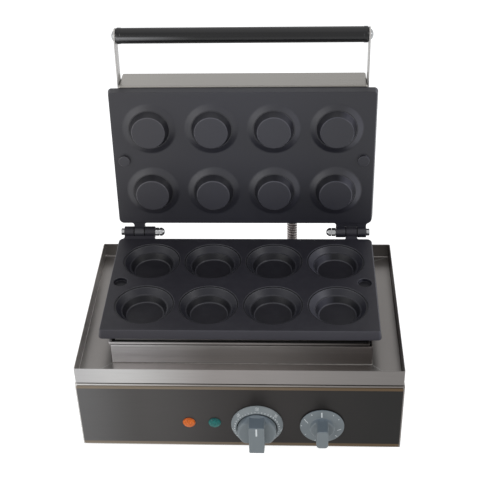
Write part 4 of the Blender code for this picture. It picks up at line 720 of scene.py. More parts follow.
def arcs(corners, steps=6):
    """A line through corners given as (across, height, radius): each turned as an arc, or sharp with none."""
    points = np.array([corner[:2] for corner in corners], float)
    line = [points[:1]]
    share = np.linspace(0, 1, steps + 1)[:, None]
    for before, corner, after, (_, _, *radius) in zip(points, points[1:], points[2:], corners[1:]):
        arrive = (before - corner) / np.linalg.norm(before - corner)
        leave = (after - corner) / np.linalg.norm(after - corner)
        half = math.acos(np.clip(arrive @ leave, -1, 1)) / 2
        if not radius or half > STRAIGHT:
            line.append(corner[None])
            continue
        middle = corner + (arrive + leave) / np.linalg.norm(arrive + leave) * radius[0] / math.sin(half)
        start, stop = (corner + way * radius[0] / math.tan(half) - middle for way in (arrive, leave))
        sweep = math.pi - 2 * half
        arc = start * np.sin((1 - share) * sweep) + stop * np.sin(share * sweep)
        line.append(middle + arc / math.sin(sweep))
    return np.concatenate([*line, points[-1:]])


def unit(angle):
    """Places at the given angles on a circle of radius one."""
    return np.stack([np.cos(angle), np.sin(angle)], axis=-1)


def full_turn(steps):
    """Evenly spaced angles once round."""
    return np.linspace(0, 2 * math.pi, steps, endpoint=False)


def circle(centre, radius, steps=CUP_STEPS):
    """Evenly spaced places on a circle: its centre, plus its radius along each angle's cosine and sine."""
    return np.array(centre)[:2] + radius * unit(full_turn(steps))


def dome_line(radius, rise, start=0.0, first=0.0, last=QUARTER, steps=10):
    """Part of an ellipse as (radius, height): an angle's cosine and sine, scaled and raised to a start."""
    turn = np.linspace(first, last, steps + 1)
    return unit(turn) * (radius, rise) + (0, start)


def outline(low, high, radii, grow=0.0, steps=8):
    """A rectangle with a quarter circle at each corner, anticlockwise from the front left, grown outwards."""
    (left, front), (right, back) = np.array(low, float)[:2] - grow, np.array(high, float)[:2] + grow
    turn = np.linspace(0, QUARTER, steps + 1)
    corners = ((left, front, 2), (right, front, 3), (right, back, 0), (left, back, 1))
    parts = []
    for (x, y, quarter), radius in zip(corners, np.broadcast_to(radii, 4)):
        inward = np.array([1 if quarter in (1, 2) else -1, 1 if quarter in (2, 3) else -1])
        ring = inward + unit(turn + quarter * QUARTER)
        parts.append(np.array([x, y]) + ring * max(radius + grow, SHARPEST))
    return np.concatenate(parts)


def lift(flat, height):
    """Flat points raised to a height, or each to its own."""
    return np.column_stack([flat, np.broadcast_to(height, len(flat))])


def carried(box, radii, profile, steps=8):
    """A profile of (growth, height) carried round a box's outline, as rings."""
    return [lift(outline(*box, radii, grow, steps), height) for grow, height in profile]


def circles(profile, steps):
    """A profile of (radius, height) as circles about the origin."""
    return [lift(circle((0, 0), radius, steps), height) for radius, height in profile]


class Shape:
    """Points and faces gathered from rings and flats before they become one mesh."""

    def __init__(self, points=(), faces=()):
        self.points, self.faces, self.count = [points] if len(points) else [], list(faces), len(points)

    def add(self, points, faces):
        """Take in points, and faces that count from the first of them."""
        self.points.append(np.asarray(points, float).reshape(-1, 3))
        self.faces += (np.asarray(faces) + self.count).tolist()
        self.count += len(self.points[-1])

    def rings(self, rings, caps=(), closed=False):
        """Rows of points joined by four-sided faces, as a closed band if asked, with caps on some rows."""
        rings = np.asarray([*rings, rings[0]] if closed else rings, float)
        rows, columns = rings.shape[:2]
        start, row = self.count, np.arange(rows - 1)[:, None] * columns
        first, after = row + np.arange(columns), row + (np.arange(columns) + 1) % columns
        self.add(rings, np.stack([first, after, after + columns, first + columns], axis=-1).reshape(-1, 4))
        for cap in caps:
            self.faces.append((start + cap % rows * columns + np.arange(columns)).tolist())
        return self

    def flat(self, outer, holes, height):
        """The flat inside an outline and outside its holes, in triangles between the outlines' own points."""
        loops = [outer, *holes]
        edges = []
        for loop, start in zip(loops, np.cumsum([0] + [len(loop) for loop in loops])):
            own = np.arange(len(loop))
            edges += np.stack([own + start, (own + 1) % len(loop) + start], axis=1).tolist()
        points = [Vector(point) for point in np.concatenate(loops)]
        found, _, triangles = delaunay_2d_cdt(points, edges, [], 1, MERGED / 20)[:3]
        found, triangles = np.array([list(point) for point in found]), np.array(triangles)
        middles = found[triangles].mean(axis=1)
        kept = np.ones(len(triangles), bool)
        for hole in holes:
            along = np.roll(hole, -1, axis=0) - hole
            away = middles[:, None] - hole[None]
            kept &= ~(along[:, 0] * away[..., 1] - along[:, 1] * away[..., 0] > 0).all(axis=1)
        self.add(lift(found, height), triangles[kept])

    def turned(self, profile, steps=CUP_STEPS, centre=(0, 0)):
        """A profile of (radius, height) turned about an upright line through the centre."""
        profile = np.array(profile, float)
        flat = np.array(centre)[:2] + profile[:, :1, None] * unit(full_turn(steps))[None]
        heights = np.broadcast_to(profile[:, 1:2, None], (len(profile), steps, 1))
        return self.rings(np.concatenate([flat, heights], axis=2))

    def moved(self, how):
        """The same faces, with every point moved by a function."""
        self.points = [how(points) for points in self.points]
        return self

    def join(self, other):
        """Take in another shape's points and faces."""
        self.points += other.points
        self.faces += [[index + self.count for index in face] for face in other.faces]
        self.count += other.count


def make_piece(name, shape, finish, replaced=(), body=None, weighted=True, sharp=32, print_depth=0):
    """One mesh from a shape: doubles merged, faces turned outwards, smooth but for its sharp edges."""
    mesh = bpy.data.meshes.new(name)
    mesh.from_pydata(np.concatenate(shape.points).tolist(), [], shape.faces)
    bm = bmesh.new()
    bm.from_mesh(mesh)
    bmesh.ops.remove_doubles(bm, verts=bm.verts, dist=MERGED)
    bmesh.ops.dissolve_degenerate(bm, edges=bm.edges, dist=MERGED / 4)
    bmesh.ops.recalc_face_normals(bm, faces=bm.faces)
    bm.to_mesh(mesh)
    bm.free()
    mesh.shade_smooth()
    mesh.set_sharp_from_angle(angle=math.radians(sharp))
    mesh.materials.append(finish.material)
    piece = bpy.data.objects.new(name, mesh)
    bpy.context.scene.collection.objects.link(piece)
    if weighted:
        piece.modifiers.new("Even shading", "WEIGHTED_NORMAL").keep_sharp = True
    if print_depth:
        solid = piece.modifiers.new("Print", "SOLIDIFY")
        solid.thickness, solid.offset = print_depth, 0
    if replaced:
        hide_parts(*replaced)
    if body != "":
        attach(piece, body or BODY_OF[replaced[0]])
    return piece


def store_share(piece, name, share):
    """Keep a number for each point, which a material reads by its name."""
    piece.data.attributes.new(name, "FLOAT", "POINT").data.foreach_set("value", share.astype(np.float32))


def front_of(place):
    """Points drawn flat, with height towards the user, moved in front of the panel."""
    return lambda points: np.stack(
        [place[0] + points[:, 0], PANEL_Y - points[:, 2], place[1] + points[:, 1]], axis=1
    )


def beside_of(side, start, y=HINGE_Y, z=HINGE_Z):
    """Points drawn flat, with height away from the middle, moved to one side, by default about the hinge."""
    return lambda points: np.stack(
        [side * (start + points[:, 2]), y + points[:, 0], z + points[:, 1]], axis=1
    )


def near_far(box):
    """How near to the middle a box starts across the machine, and how far from it it ends."""
    return np.sort(np.abs(box[:, 0]))


# Plates


def add_plate_body(shape, face, back, inset_x, face_holes, back_holes):
    """A drafted slab with a pocket in its back: its edge is a profile of (growth, height) round it."""
    profile = arcs([
        (-3 * PLATE_EDGE, face), (0, face, PLATE_EDGE), (PLATE_DRAFT, back, 0.0006), (-PLATE_DRAFT, back),
    ])[1:-1]
    inset = np.array([inset_x, POCKET_INSET_Y])
    rim = outline(PLATE[0] + inset, PLATE[1] - inset, POCKET_CORNER)
    floor = face + math.copysign(FACE_THICKNESS, back - face)
    shape.rings(carried(PLATE, PLATE_CORNERS, profile))
    shape.flat(outline(*PLATE, PLATE_CORNERS, profile[0][0]), face_holes, face)
    shape.flat(outline(*PLATE, PLATE_CORNERS, profile[-1][0]), [rim], back)
    shape.rings([lift(rim, back), lift(rim, floor)])
    shape.flat(rim, back_holes, floor)


def hinge_ring(side, start, profile):
    """A profile turned about the hinge's axis, from a distance to one side of the middle."""
    return Shape().turned(profile, BARREL_STEPS).moved(beside_of(side, start))


def add_barrels(shape, owner):
    """Barrels with rounded rims, each on a web that flares into the plate on a quarter circle at each end."""
    low, high = HINGE_Z - BARREL_RADIUS + GAP, LOWER_FACE - WEB_CLEARANCE
    if owner == "upper":
        low, high = UPPER_FACE + WEB_CLEARANCE, HINGE_Z + BARREL_RADIUS - GAP
    steps = np.linspace(0, QUARTER, 7)
    flare = WEB_FILLET * np.concatenate([[1], 1 - np.sin(steps), [0]])
    rise = WEB_FILLET * (1 - np.cos(steps))
    along = PLATE_BACK + np.concatenate([[-WEB_SUNK], rise, [HINGE_Y - PLATE_BACK]])
    for side, stack in STACKS.items():
        for place, (holder, outer, inner) in enumerate(stack):
            if holder != owner:
                continue
            trim = BARREL_TRIM if place == 1 else 0
            length = outer - inner - 2 * trim
            shape.join(hinge_ring(side, inner + trim, arcs([
                (BARREL_HOLE, 0), (BARREL_RADIUS, 0, BARREL_ROUND), (BARREL_RADIUS, length, BARREL_ROUND),
                (BARREL_HOLE, length), (BARREL_HOLE, 0),
            ], 4)))
            near, far = inner + WEB_STEP - flare, outer - WEB_STEP + flare
            corners = ((near, low), (far, low), (far, high), (near, high))
            rows = [np.stack([side * x, along, np.full(len(along), z)], axis=1) for x, z in corners]
            shape.rings(np.stack(rows, axis=1), ENDS)
        if stack[0][0] == owner:
            add_bridge(shape, owner, side, stack, low, high)
            start = stack[2][1] - WEB_STEP
            length = stack[1][2] - GAP - start
            shape.join(hinge_ring(side, start, arcs([
                (BARREL_HOLE, 0), (BOSS_RADIUS, 0), (BOSS_RADIUS, length, 0.0003), (BARREL_HOLE, length),
            ], 3)))


def add_bridge(shape, owner, side, stack, low, high):
    """The bar between a plate's two barrels: a box with broken edges, just clear of the barrel between."""
    if owner == "lower":
        low, high = low + WEB_STEP, LOWER_FACE - LOWER_BRIDGE_STEP
    else:
        low = UPPER_FACE + UPPER_BRIDGE_STEP
    left, right = sorted((side * (stack[0][1] - 2 * WEB_STEP), side * (stack[-1][2] + 2 * WEB_STEP)))
    box = ((left, PLATE_BACK - BRIDGE_SUNK), (right, HINGE_Y - BARREL_RADIUS - BRIDGE_CLEARANCE))
    levels = ((-BRIDGE_EDGE, low), (0, low + BRIDGE_EDGE), (0, high - BRIDGE_EDGE), (-BRIDGE_EDGE, high))
    shape.rings(carried(box, EDGE, levels, 3), ENDS)


def mark_depth(piece, angle, face, cup, guide):
    """Store each point's share of a cup's depth or stud's height below the face: 0 at the plate's outer edge,
    EDGE_SHARE on its face, and 1 at a cup's floor or a stud's end."""
    points = opened(mesh_points(piece.data), -angle)
    below = face - points[:, 2]
    share = EDGE_SHARE * (below < LEVEL)
    spots = [(centre, CUP_RIM, cup) for centre in CUPS] + [(centre, GUIDE_HOLE, guide) for centre in GUIDES]
    for centre, radius, depth in spots:
        near = np.linalg.norm(points[:, :2] - centre, axis=1) < radius + SPOT_REACH
        share[near] = EDGE_SHARE + (1 - EDGE_SHARE) * np.clip(below[near] / depth, 0, 1)
    store_share(piece, "depth share", share)


def make_plate(owner, finish, face, back, inset, cup, guide, shell=(), angle=0.0, guide_share=1):
    """A cast plate: its face opens into cups or studs and guides, each a profile turned about its centre."""
    shape = Shape()
    holes = [circle(centre, cup[0][0]) for centre in CUPS]
    holes += [circle(centre, guide[0][0], GUIDE_STEPS) for centre in GUIDES]
    add_plate_body(shape, face, back, inset, holes, [circle(centre, shell[0][0]) for centre in CUPS if shell])
    for centre in CUPS:
        for profile in (cup, shell) if shell else (cup,):
            shape.turned(np.array(profile) + (0, face), CUP_STEPS, centre)
    for centre in GUIDES:
        shape.turned(guide + (0, face), GUIDE_STEPS, centre)
    add_barrels(shape, owner)
    if angle:
        shape.moved(opened)
    plate = make_piece(f"{owner}_plate_cast", shape, finish, [f"{owner}_plate"])
    mark_depth(plate, angle, face, -cup[-1][1], -guide[-1][1] * guide_share)


def make_lower_plate():
    """A cup from its rim down: a rounded edge, a narrow step, a cone to a soft throat, a steep wall and a
    flat floor. Under it is a shell, and at both sides a drilled hole."""
    cup = arcs([
        (CUP_RIM + 0.0015, 0), (CUP_RIM, 0, 0.0006), (CUP_RIM, -CUP_STEP, 0.0003),
        (CUP_RING, -CUP_STEP, 0.0002), (CUP_RING - 0.0004, -CUP_STEP - 0.0006),
        (CUP_LEDGE, -CUP_THROAT_DEPTH + 0.0004, 0.0024), (CUP_THROAT, -CUP_THROAT_DEPTH, 0.0007),
        (CUP_FLOOR, -CUP_DEPTH, 0.0024), (0, -CUP_DEPTH),
    ])
    outer, under = CUP_THROAT + CUP_WALL, -CUP_DEPTH - CUP_WALL
    shell = [(outer, -FACE_THICKNESS), (outer, -CUP_SHELL_DEPTH), (CUP_SHELL, -CUP_DEPTH)]
    shell += [(CUP_SHELL - CUP_WALL, under), (0, under)]
    guide = arcs([
        (GUIDE_HOLE + 0.003, 0), (GUIDE_HOLE, 0, 0.0008), (GUIDE_HOLE, -GUIDE_HOLE_DEPTH, 0.0006),
        (0, -GUIDE_HOLE_DEPTH),
    ], 4)[1:]
    make_plate(
        "lower", CAST_LOWER, LOWER_FACE, LOWER_BACK, LOWER_POCKET_INSET, cup, guide, shell, guide_share=2
    )


def make_upper_plate():
    """A stud from the plate down: a low shoulder that falls on a soft curve, a steep wall, a rounded end."""
    stud = arcs([
        (STUD_SHOULDER + 0.003, 0), (STUD_SHOULDER, 0, 0.008), (STUD_NECK + 0.0012, -STUD_NECK_HEIGHT, 0.002),
        (STUD_NECK, -STUD_NECK_HEIGHT, 0.0005), (STUD_TIP, -STUD_HEIGHT, 0.0011), (0, -STUD_HEIGHT),
    ])[1:]
    pin = arcs([
        (GUIDE_PIN + 0.002, 0), (GUIDE_PIN, 0, 0.0005), (GUIDE_PIN, -GUIDE_PIN_HEIGHT, 0.0008),
        (0, -GUIDE_PIN_HEIGHT),
    ], 4)[1:]
    make_plate("upper", CAST_UPPER, UPPER_FACE, UPPER_BACK, UPPER_POCKET_INSET, stud, pin, angle=OPEN_ANGLE)


# Sheet metal


def make_tray():
    """The pan: drip edge, outside wall, rolled lip, inside wall and floor as one profile round its outline,
    with holes where the heater's tails and the sensor's tube pass down."""
    bottom, top = TRAY[0][2], TRAY[1][2]
    foot, floor = bottom - TRAY_DRIP, bottom + SHEET
    profile = arcs([
        (-TRAY_FLANGE, bottom), (-TRAY_DRIP_BACK, bottom, EDGE), (-TRAY_DRIP_INSET, foot, EDGE),
        (0, foot, 0.0007), (0, top, 0.0005), (-SHEET, top, 0.0005), (-SHEET, floor, 0.0012),
        (-TRAY_FLANGE, floor),
    ], 5)
    cups = CUP_PITCH_Y / 2 + CUP_THROAT + CUP_WALL
    tail = PLATE_MIDDLE + (cups + (PLATE_BACK - PLATE_FRONT) / 2 - POCKET_INSET_Y) / 2
    holes = [circle((side * CUP_PITCH_X, tail), TAIL_HOLE, HOLE_STEPS) for side in (-1, 1)]
    holes.append(circle((SENSOR_X, PLATE_MIDDLE), SENSOR_HOLE, HOLE_STEPS))
    shape = Shape().rings(carried(TRAY, TRAY_FOLD, profile))
    for grow, height in (profile[0], profile[-1]):
        shape.flat(outline(*TRAY, TRAY_FOLD, grow), holes, height)
    for hole in holes:
        shape.rings([lift(hole, bottom), lift(hole, floor)])
    make_piece("drip_pan", shape, STEEL_TRAY, ["drip_tray"])


def make_seams():
    """Weld lines across the pan's floor: low half-round beads from the housing's corners to the pan's."""
    across = np.linspace(0, math.pi, 7)
    height = TRAY[0][2] + SHEET - SUNK + np.sin(across) * (SEAM_HEIGHT + SUNK)
    shape = Shape()
    for right in (0, 1):
        for end in (0, 1):
            inner = np.array([NECK_BODY[right][0], NECK[end][1]])
            outer = np.array([(2 * right - 1) * (TRAY[1][0] - SHEET), TRAY[end][1] + (1 - 2 * end) * SHEET])
            along = (outer - inner) / np.linalg.norm(outer - inner)
            flat = np.cos(across)[:, None] * np.array([-along[1], along[0]]) * SEAM_WIDTH / 2
            centres = [inner + (outer - inner) * share for share in np.linspace(0, 1, 9)]
            shape.rings([lift(centre + flat, height) for centre in centres], ENDS)
    make_piece("pan_seams", shape, ZINC, body="base")


def round_neck(body, rim=()):
    """Profiles of (growth, height) carried round the housing's body and its rim, as one closed band."""
    rows = carried(NECK_BODY, NECK_CORNER / 2, body) + carried(NECK_RIM, NECK_CORNER, rim)
    return Shape().rings(rows, closed=True)


def make_neck():
    """The raised housing: an outer wall, a dark channel, and a rolled lip before the plate's slot."""
    bottom, top = NECK[0][2], NECK[1][2]
    under, deep = top - NECK_LIP, top - NECK_CHANNEL
    outer, groove, slot = -SHEET - NECK_LIP_REACH, under - NECK_GROOVE, -NECK_SLOT_END - SHEET
    wall = arcs([
        (outer, deep - SHEET), (outer, bottom), (-NECK_LIP_REACH, bottom), (-NECK_LIP_REACH, groove, 0.0003),
        (outer, groove, 0.0003), (outer, deep),
    ], 3)
    lip = arcs([
        (-NECK_LIP_BACK, deep), (-NECK_LIP_BACK, under), (0, under, 0.0006), (0, top, 0.0014),
        (-NECK_LIP, top, 0.0014), (-NECK_LIP, deep), (-NECK_SLOT_END, deep), (-NECK_SLOT_END, top, 0.0004),
        (slot, top, 0.0004), (slot, deep - SHEET),
    ], 5)
    make_piece("neck_sheet", round_neck(wall, lip), STEEL_NECK, ["heater_neck"])


def make_neck_seals():
    """Dark heat seals: a half-round rope in the plate's slot, and a flat strip in the channel."""
    top = NECK[1][2]
    middle, half = (NECK_LIP + NECK_SLOT_END) / 2, (NECK_SLOT_END - NECK_LIP) / 2 - SEAL_SLIP
    rope = dome_line(half, ROPE_RISE, top - ROPE_SUNK, 0, math.pi, 8) - (middle, 0)
    rope = np.concatenate([rope, rope[[-1, 0]] - (0, SEAL_THICKNESS), rope[:1]])
    shape = Shape().rings(carried(NECK_RIM, NECK_CORNER, rope))
    level = top - NECK_LIP - NECK_GROOVE - STRIP_SUNK
    under = level - SEAL_THICKNESS
    outer, inner = -NECK_LIP_REACH - SHEET - SEAL_SLIP, SEAL_SLIP - NECK_LIP_BACK
    shape.join(round_neck([(outer, under), (outer, level)], [(inner, level), (inner, under)]))
    make_piece("plate_seal", shape, SEAL_AND_GAP_SHADE, body="base")


def make_neck_weld():
    """The weld at the housing's foot: a quarter-round bead carried round its outline."""
    floor = TRAY[0][2] + SHEET
    bead = (NECK_WELD, floor + NECK_WELD) - dome_line(NECK_WELD, NECK_WELD, steps=5)[:, ::-1]
    section = np.concatenate([bead, [(-WELD_SUNK, bead[-1][1]), (-WELD_SUNK, floor)]]) - (NECK_LIP_REACH, 0)
    make_piece("neck_weld", round_neck(section), WELD, body="base")


def make_cover():
    """The lid's cover: an outer box with rounded folds, an inner one a sheet inside it, a flange below."""
    bottom, top = COVER[0][2], COVER[1][2]
    outer = arcs([(-COVER_FLANGE, bottom), (0, bottom, 0.0015), (0, top, COVER_ROUND), (-COVER_FLAT, top)])
    inner = arcs([
        (-COVER_FLAT, top - SHEET), (-SHEET, top - SHEET, COVER_ROUND - SHEET),
        (-SHEET, bottom + SHEET, 0.0006), (-COVER_FLANGE, bottom + SHEET), (-COVER_FLANGE, bottom),
    ])
    shape = Shape()
    for profile, cap in ((outer, -1), (inner, 0)):
        shape.rings(carried(COVER, COVER_ROUND, profile), (cap,))
    make_piece("cover_sheet", shape.moved(opened), STEEL_COVER, ["upper_cover"])


def make_arm(label, side):
    """A flat bar with round ends: its outline with softly broken edges, across its thickness."""
    box = span(f"handle_arm_{label}", True)
    thick = box[1][0] - box[0][0]
    half = (box[1][2] - box[0][2]) / 2 - 2 * ARM_SLIP
    profile = [(-ARM_FLAT, 0), (-ARM_SLIP, 0, EDGE), (-ARM_SLIP, thick, EDGE), (-ARM_FLAT, thick)]
    shape = Shape().rings(carried(box[:, 1:], half, arcs(profile, 4), 12), ENDS)
    shape.moved(beside_of(side, near_far(box)[0], 0, 0)).moved(opened)
    make_piece(f"arm_bar_{label}", shape, STEEL_ARM, [f"handle_arm_{label}"])


def make_grip():
    """The grip: a turned bar with rounded ends and a shallow step at each, bored for its rod."""
    box = span("grip", True)
    centre, length = box.mean(axis=0), box[1][0] - box[0][0]
    radius = (box[1][2] - box[0][2]) / 2 - ARM_SLIP
    end = [(radius, 0, GRIP_ROUND), (radius, GRIP_END, GRIP_STEP)]
    end.append((radius - GRIP_STEP, GRIP_END + 0.0005, GRIP_STEP))
    other = [(across, length - height, arc) for across, height, arc in end[::-1]]
    profile = arcs([(GRIP_BORE, 0), *end, *other, (GRIP_BORE, length), (GRIP_BORE, 0)], 5)
    shape = Shape().turned(profile, GRIP_STEPS).moved(beside_of(1, box[0][0], *centre[1:])).moved(opened)
    make_piece("grip_bar", shape, GRIP, ["grip"])


def make_dome(node, side, radius, height):
    """A domed head with a rim, a round recess and its shank, all about one line across the machine."""
    box = span(node, True)
    length = box[1][0] - box[0][0] - height
    dome = dome_line(radius, height, 0, DOME_START, QUARTER - DOME_STOP, 8)
    recess, floor = dome[-1, 0] * DOME_RECESS, height * DOME_FLOOR
    profile = [(0, -length), (SCREW_SHANK, -length), (SCREW_SHANK, 0), (radius, 0), *dome]
    profile += [(recess, height * 0.99), (recess, floor), (0, floor)]
    shape = Shape().turned(profile, HEAD_STEPS)
    shape.moved(beside_of(side, near_far(box)[1] - height, *box.mean(axis=0)[1:])).moved(opened)
    make_piece(f"{node}_dome", shape, CHROME, [node])


# Controls


def wing_shape(wing, corner, back):
    """A knob's grip: a rounded rectangle whose sides draw in evenly towards its softly rounded front."""
    width, length, front = wing
    rows = []
    for grow, height in arcs([(0, back), (0, front, WING_ROUND), (0.001 - width / 2, front)]):
        share = (height - back) / (front - back)
        ring = outline((-width / 2, -length / 2), (width / 2, length / 2), corner, grow, 7)
        taper = 1 - 2 * share * np.array([WING_TAPER / width, WING_END_TAPER / length])
        rows.append(lift(ring * taper, height))
    return Shape().rings(rows, ENDS)


def drum_rings():
    """A drum's front edge: a quarter round that grows with the angle to a long slope above and below."""
    turn = full_turn(DIAL_STEPS)
    past = KNOB_RADIUS - KNOB_EAR / np.maximum(np.abs(np.sin(turn)), 0.05)
    cut = (past + KNOB_ROUND + np.hypot(past - KNOB_ROUND, KNOB_EAR_BLEND)) / 2
    slope = np.clip((cut - KNOB_ROUND) / (KNOB_RADIUS - KNOB_EAR - KNOB_ROUND), 0, 1) * KNOB_EAR_SLOPE
    share = np.linspace(0, 1, 10)[:, None]
    out = share * slope + np.sin(share * QUARTER) * (1 - slope)
    back = share * slope + (1 - np.cos(share * QUARTER)) * (1 - slope)
    groove = KNOB_GROOVE_FRONT - KNOB_GROOVE_FALL
    depth = np.minimum(cut, KNOB_FRONT - KNOB_GROOVE_FRONT - KNOB_GROOVE_FALL)
    radius = (KNOB_RADIUS - cut * (1 - out))[..., None]
    rows = np.concatenate([radius * unit(turn), (KNOB_FRONT - depth * back)[..., None]], axis=-1)
    inner = KNOB_RADIUS - KNOB_GROOVE
    behind = ((KNOB_RADIUS, KNOB_GROOVE_FRONT), (inner, groove), (inner, KNOB_BACK))
    return [*rows, *circles(behind, DIAL_STEPS)]


def make_temp_knob():
    """A drum with its grip across it and a bar of print at the grip's upper end."""
    _, length, front = TEMP_WING
    bore = circles(((KNOB_BORE, KNOB_BACK), (KNOB_BORE, front - KNOB_BORE_END)), DIAL_STEPS)
    shape = Shape().rings(drum_rings() + bore, ENDS)
    shape.join(wing_shape(TEMP_WING, TEMP_WING_CORNER, KNOB_GROOVE_FRONT))
    make_piece("temp_dial_knob", shape.moved(front_of(TEMP_PLACE)), KNOB, ["temp_knob"])
    top = length / 2 - WING_ROUND - POINTER_STEP
    box = ((-POINTER[0] / 2, top - POINTER[1]), (POINTER[0] / 2, top))
    mark = Shape().rings(carried(box, EDGE, ((0, front - EDGE), (0, front + MARK_HEIGHT)), 3), ENDS)
    make_piece("temp_pointer", mark.moved(front_of(TEMP_PLACE)), MARKS, body="temp_dial")


def ring_face():
    """The scale ring's face from its lip outwards: a shallow band, a shoulder, a steep slope, a round rim."""
    return arcs([
        (RING_INNER, RING_FRONT), (RING_SHOULDER, RING_SHOULDER_FRONT, 0.0016),
        (RING_RADIUS, GAP + RING_EDGE, 0.0008), (RING_RADIUS, GAP, 0.0002), (RING_RADIUS - 0.0012, GAP),
    ])


def make_scale_ring():
    """The scale ring: its face and a thin lip inside it, as one profile turned about the dial's line."""
    lip = RING_INNER - 0.0002
    inside = arcs([(lip, GAP), (lip, RING_FRONT, 0.0003), (RING_INNER, RING_FRONT)], 3)
    shape = Shape().turned(np.concatenate([ring_face(), inside]), DIAL_STEPS)
    make_piece("scale_ring_dial", shape.moved(front_of(TEMP_PLACE)), RING, ["temp_scale_ring"])


def cone_height(flat):
    """How far the scale ring's face stands proud at each point, by its distance from the middle."""
    face = ring_face()[:-3]
    return np.interp(np.linalg.norm(flat, axis=1), face[:, 0], face[:, 1])


def skirt_height(flat):
    """The timer skirt rises evenly from its edge to the hub, by each point's distance from the middle."""
    share = (SKIRT_RADIUS - np.linalg.norm(flat, axis=1)) / (SKIRT_RADIUS - HUB_RADIUS)
    return SKIRT_FRONT + SKIRT_RISE * share


def laid(ring, height):
    """A patch of print laid on a dial: its outline from just inside the surface to just proud of it."""
    return Shape().rings([lift(ring, height + level) for level in (MARK_FOOT, MARK_HEIGHT)], ENDS)


def make_scale_marks():
    """Dots round the ring's inner edge and plain numbers outside them, laid on its cone."""
    start = QUARTER + SCALE_SWEEP / 2
    shape = Shape()
    for dot in range(SCALE_DOTS):
        angle = start - SCALE_SWEEP * dot / (SCALE_DOTS - 1)
        ring = circle(DOT_RING * unit(angle), DOT_RADIUS, 10)
        shape.join(laid(ring, cone_height(ring)))
    make_piece("scale_dots", shape.moved(front_of(TEMP_PLACE)), MARKS, body="base", weighted=False)
    for number in range(NUMBERS):
        make_number(number, start - SCALE_SWEEP * number / (NUMBERS - 1))


def number_mesh(words):
    """A number's outline as a flat mesh, centred on the origin: (points, faces)."""
    curve = bpy.data.curves.new("number", "FONT")
    curve.body = words
    curve.size = NUMBER_SIZE
    curve.align_x = curve.align_y = "CENTER"
    curve.resolution_u = 2
    guide = bpy.data.objects.new("number", curve)
    bpy.context.scene.collection.objects.link(guide)
    graph = bpy.context.evaluated_depsgraph_get()
    mesh = bpy.data.meshes.new_from_object(guide.evaluated_get(graph))
    bpy.data.objects.remove(guide, do_unlink=True)
    return mesh_points(mesh)[:, :2].astype(float), [list(face.vertices) for face in mesh.polygons]


def make_number(number, angle):
    """A number turned to stand upright on the ring at an angle, laid on its surface."""
    points, faces = number_mesh(str(number * NUMBER_STEP))
    out = unit(angle)
    flat = points[:, :1] * (out[1], -out[0]) + points[:, 1:] * out + NUMBER_RING * out
    shape = Shape(lift(flat, cone_height(flat) + MARK_HEIGHT), faces).moved(front_of(TEMP_PLACE))
    name = f"scale_number_{number}"
    make_piece(name, shape, MARKS, body="base", weighted=False, print_depth=2 * MARK_HEIGHT)


def make_timer_knob():
    """A shallow skirt that rises to a hub, with the grip across the hub and print on the skirt."""
    hub, bore = SKIRT_FRONT + SKIRT_RISE, TIMER_WING[2] - KNOB_BORE_END
    profile = arcs([
        (0, HUB_FRONT), (HUB_RADIUS - HUB_LEAN, HUB_FRONT, 0.0018), (HUB_RADIUS, hub, 0.0014),
        (SKIRT_RADIUS, SKIRT_FRONT, 0.0007), (SKIRT_RADIUS, SKIRT_BACK, 0.0002), (KNOB_BORE, SKIRT_BACK),
        (KNOB_BORE, bore), (0, bore),
    ])
    shape = Shape().turned(profile, DIAL_STEPS)
    shape.join(wing_shape(TIMER_WING, TIMER_WING_CORNER, hub))
    make_piece("timer_dial_knob", shape.moved(front_of(TIMER_PLACE)), KNOB, ["timer_knob"])
    marks = Shape()
    for *polar, wide in TIMER_MARKS:
        start, stop = (radius * unit(math.radians(degrees)) for degrees, radius in (polar[:2], polar[2:]))
        along = (stop - start) / np.linalg.norm(stop - start)
        side = np.array([-along[1], along[0]]) * wide / 2
        ring = np.array([start - side, stop - side, stop + side, start + side])
        marks.join(laid(ring, skirt_height(ring)))
    make_piece("timer_marks", marks.moved(front_of(TIMER_PLACE)), MARKS, body="timer_dial", weighted=False)


def make_lamp_lens(label, finish):
    """A round lens under a full dome, with a narrow rim against the panel."""
    box = span(f"lamp_lens_{label}")
    radius = (box[1][0] - box[0][0]) / 2
    dome = dome_line(radius - LENS_RIM, PANEL_Y - box[0][1] - LENS_FOOT, LENS_FOOT)
    dome[-1, 0] = 0
    shape = Shape().turned([(0, GAP), (radius, GAP), (radius, LENS_FOOT - 0.0001), *dome], HEAD_STEPS)
    shape.moved(front_of(box.mean(axis=0)[[0, 2]]))
    make_piece(f"lamp_dome_{label}", shape, finish, [f"lamp_lens_{label}"])


# Hinge hardware, hose, glands and feet


def make_bolt(label, side):
    """A bolt across the hinge: its shank, and a head with a round socket, as one turned profile."""
    near, far = near_far(span(f"hinge_bolt_{label}"))
    seat = far - BOLT_HEAD_HEIGHT
    profile = arcs([
        (0, near - seat), (BOLT_SHANK, near - seat, 0.0004), (BOLT_SHANK, 0, 0.0003), (BOLT_HEAD, 0, 0.0002),
        (BOLT_HEAD, BOLT_HEAD_HEIGHT, 0.0005), (BOLT_SOCKET, BOLT_HEAD_HEIGHT, 0.0002),
        (BOLT_SOCKET, BOLT_SOCKET_FLOOR, 0.0002), (0, BOLT_SOCKET_FLOOR),
    ], 4)
    make_piece(f"hinge_bolt_bar_{label}", hinge_ring(side, seat, profile), CHROME, [f"hinge_bolt_{label}"])


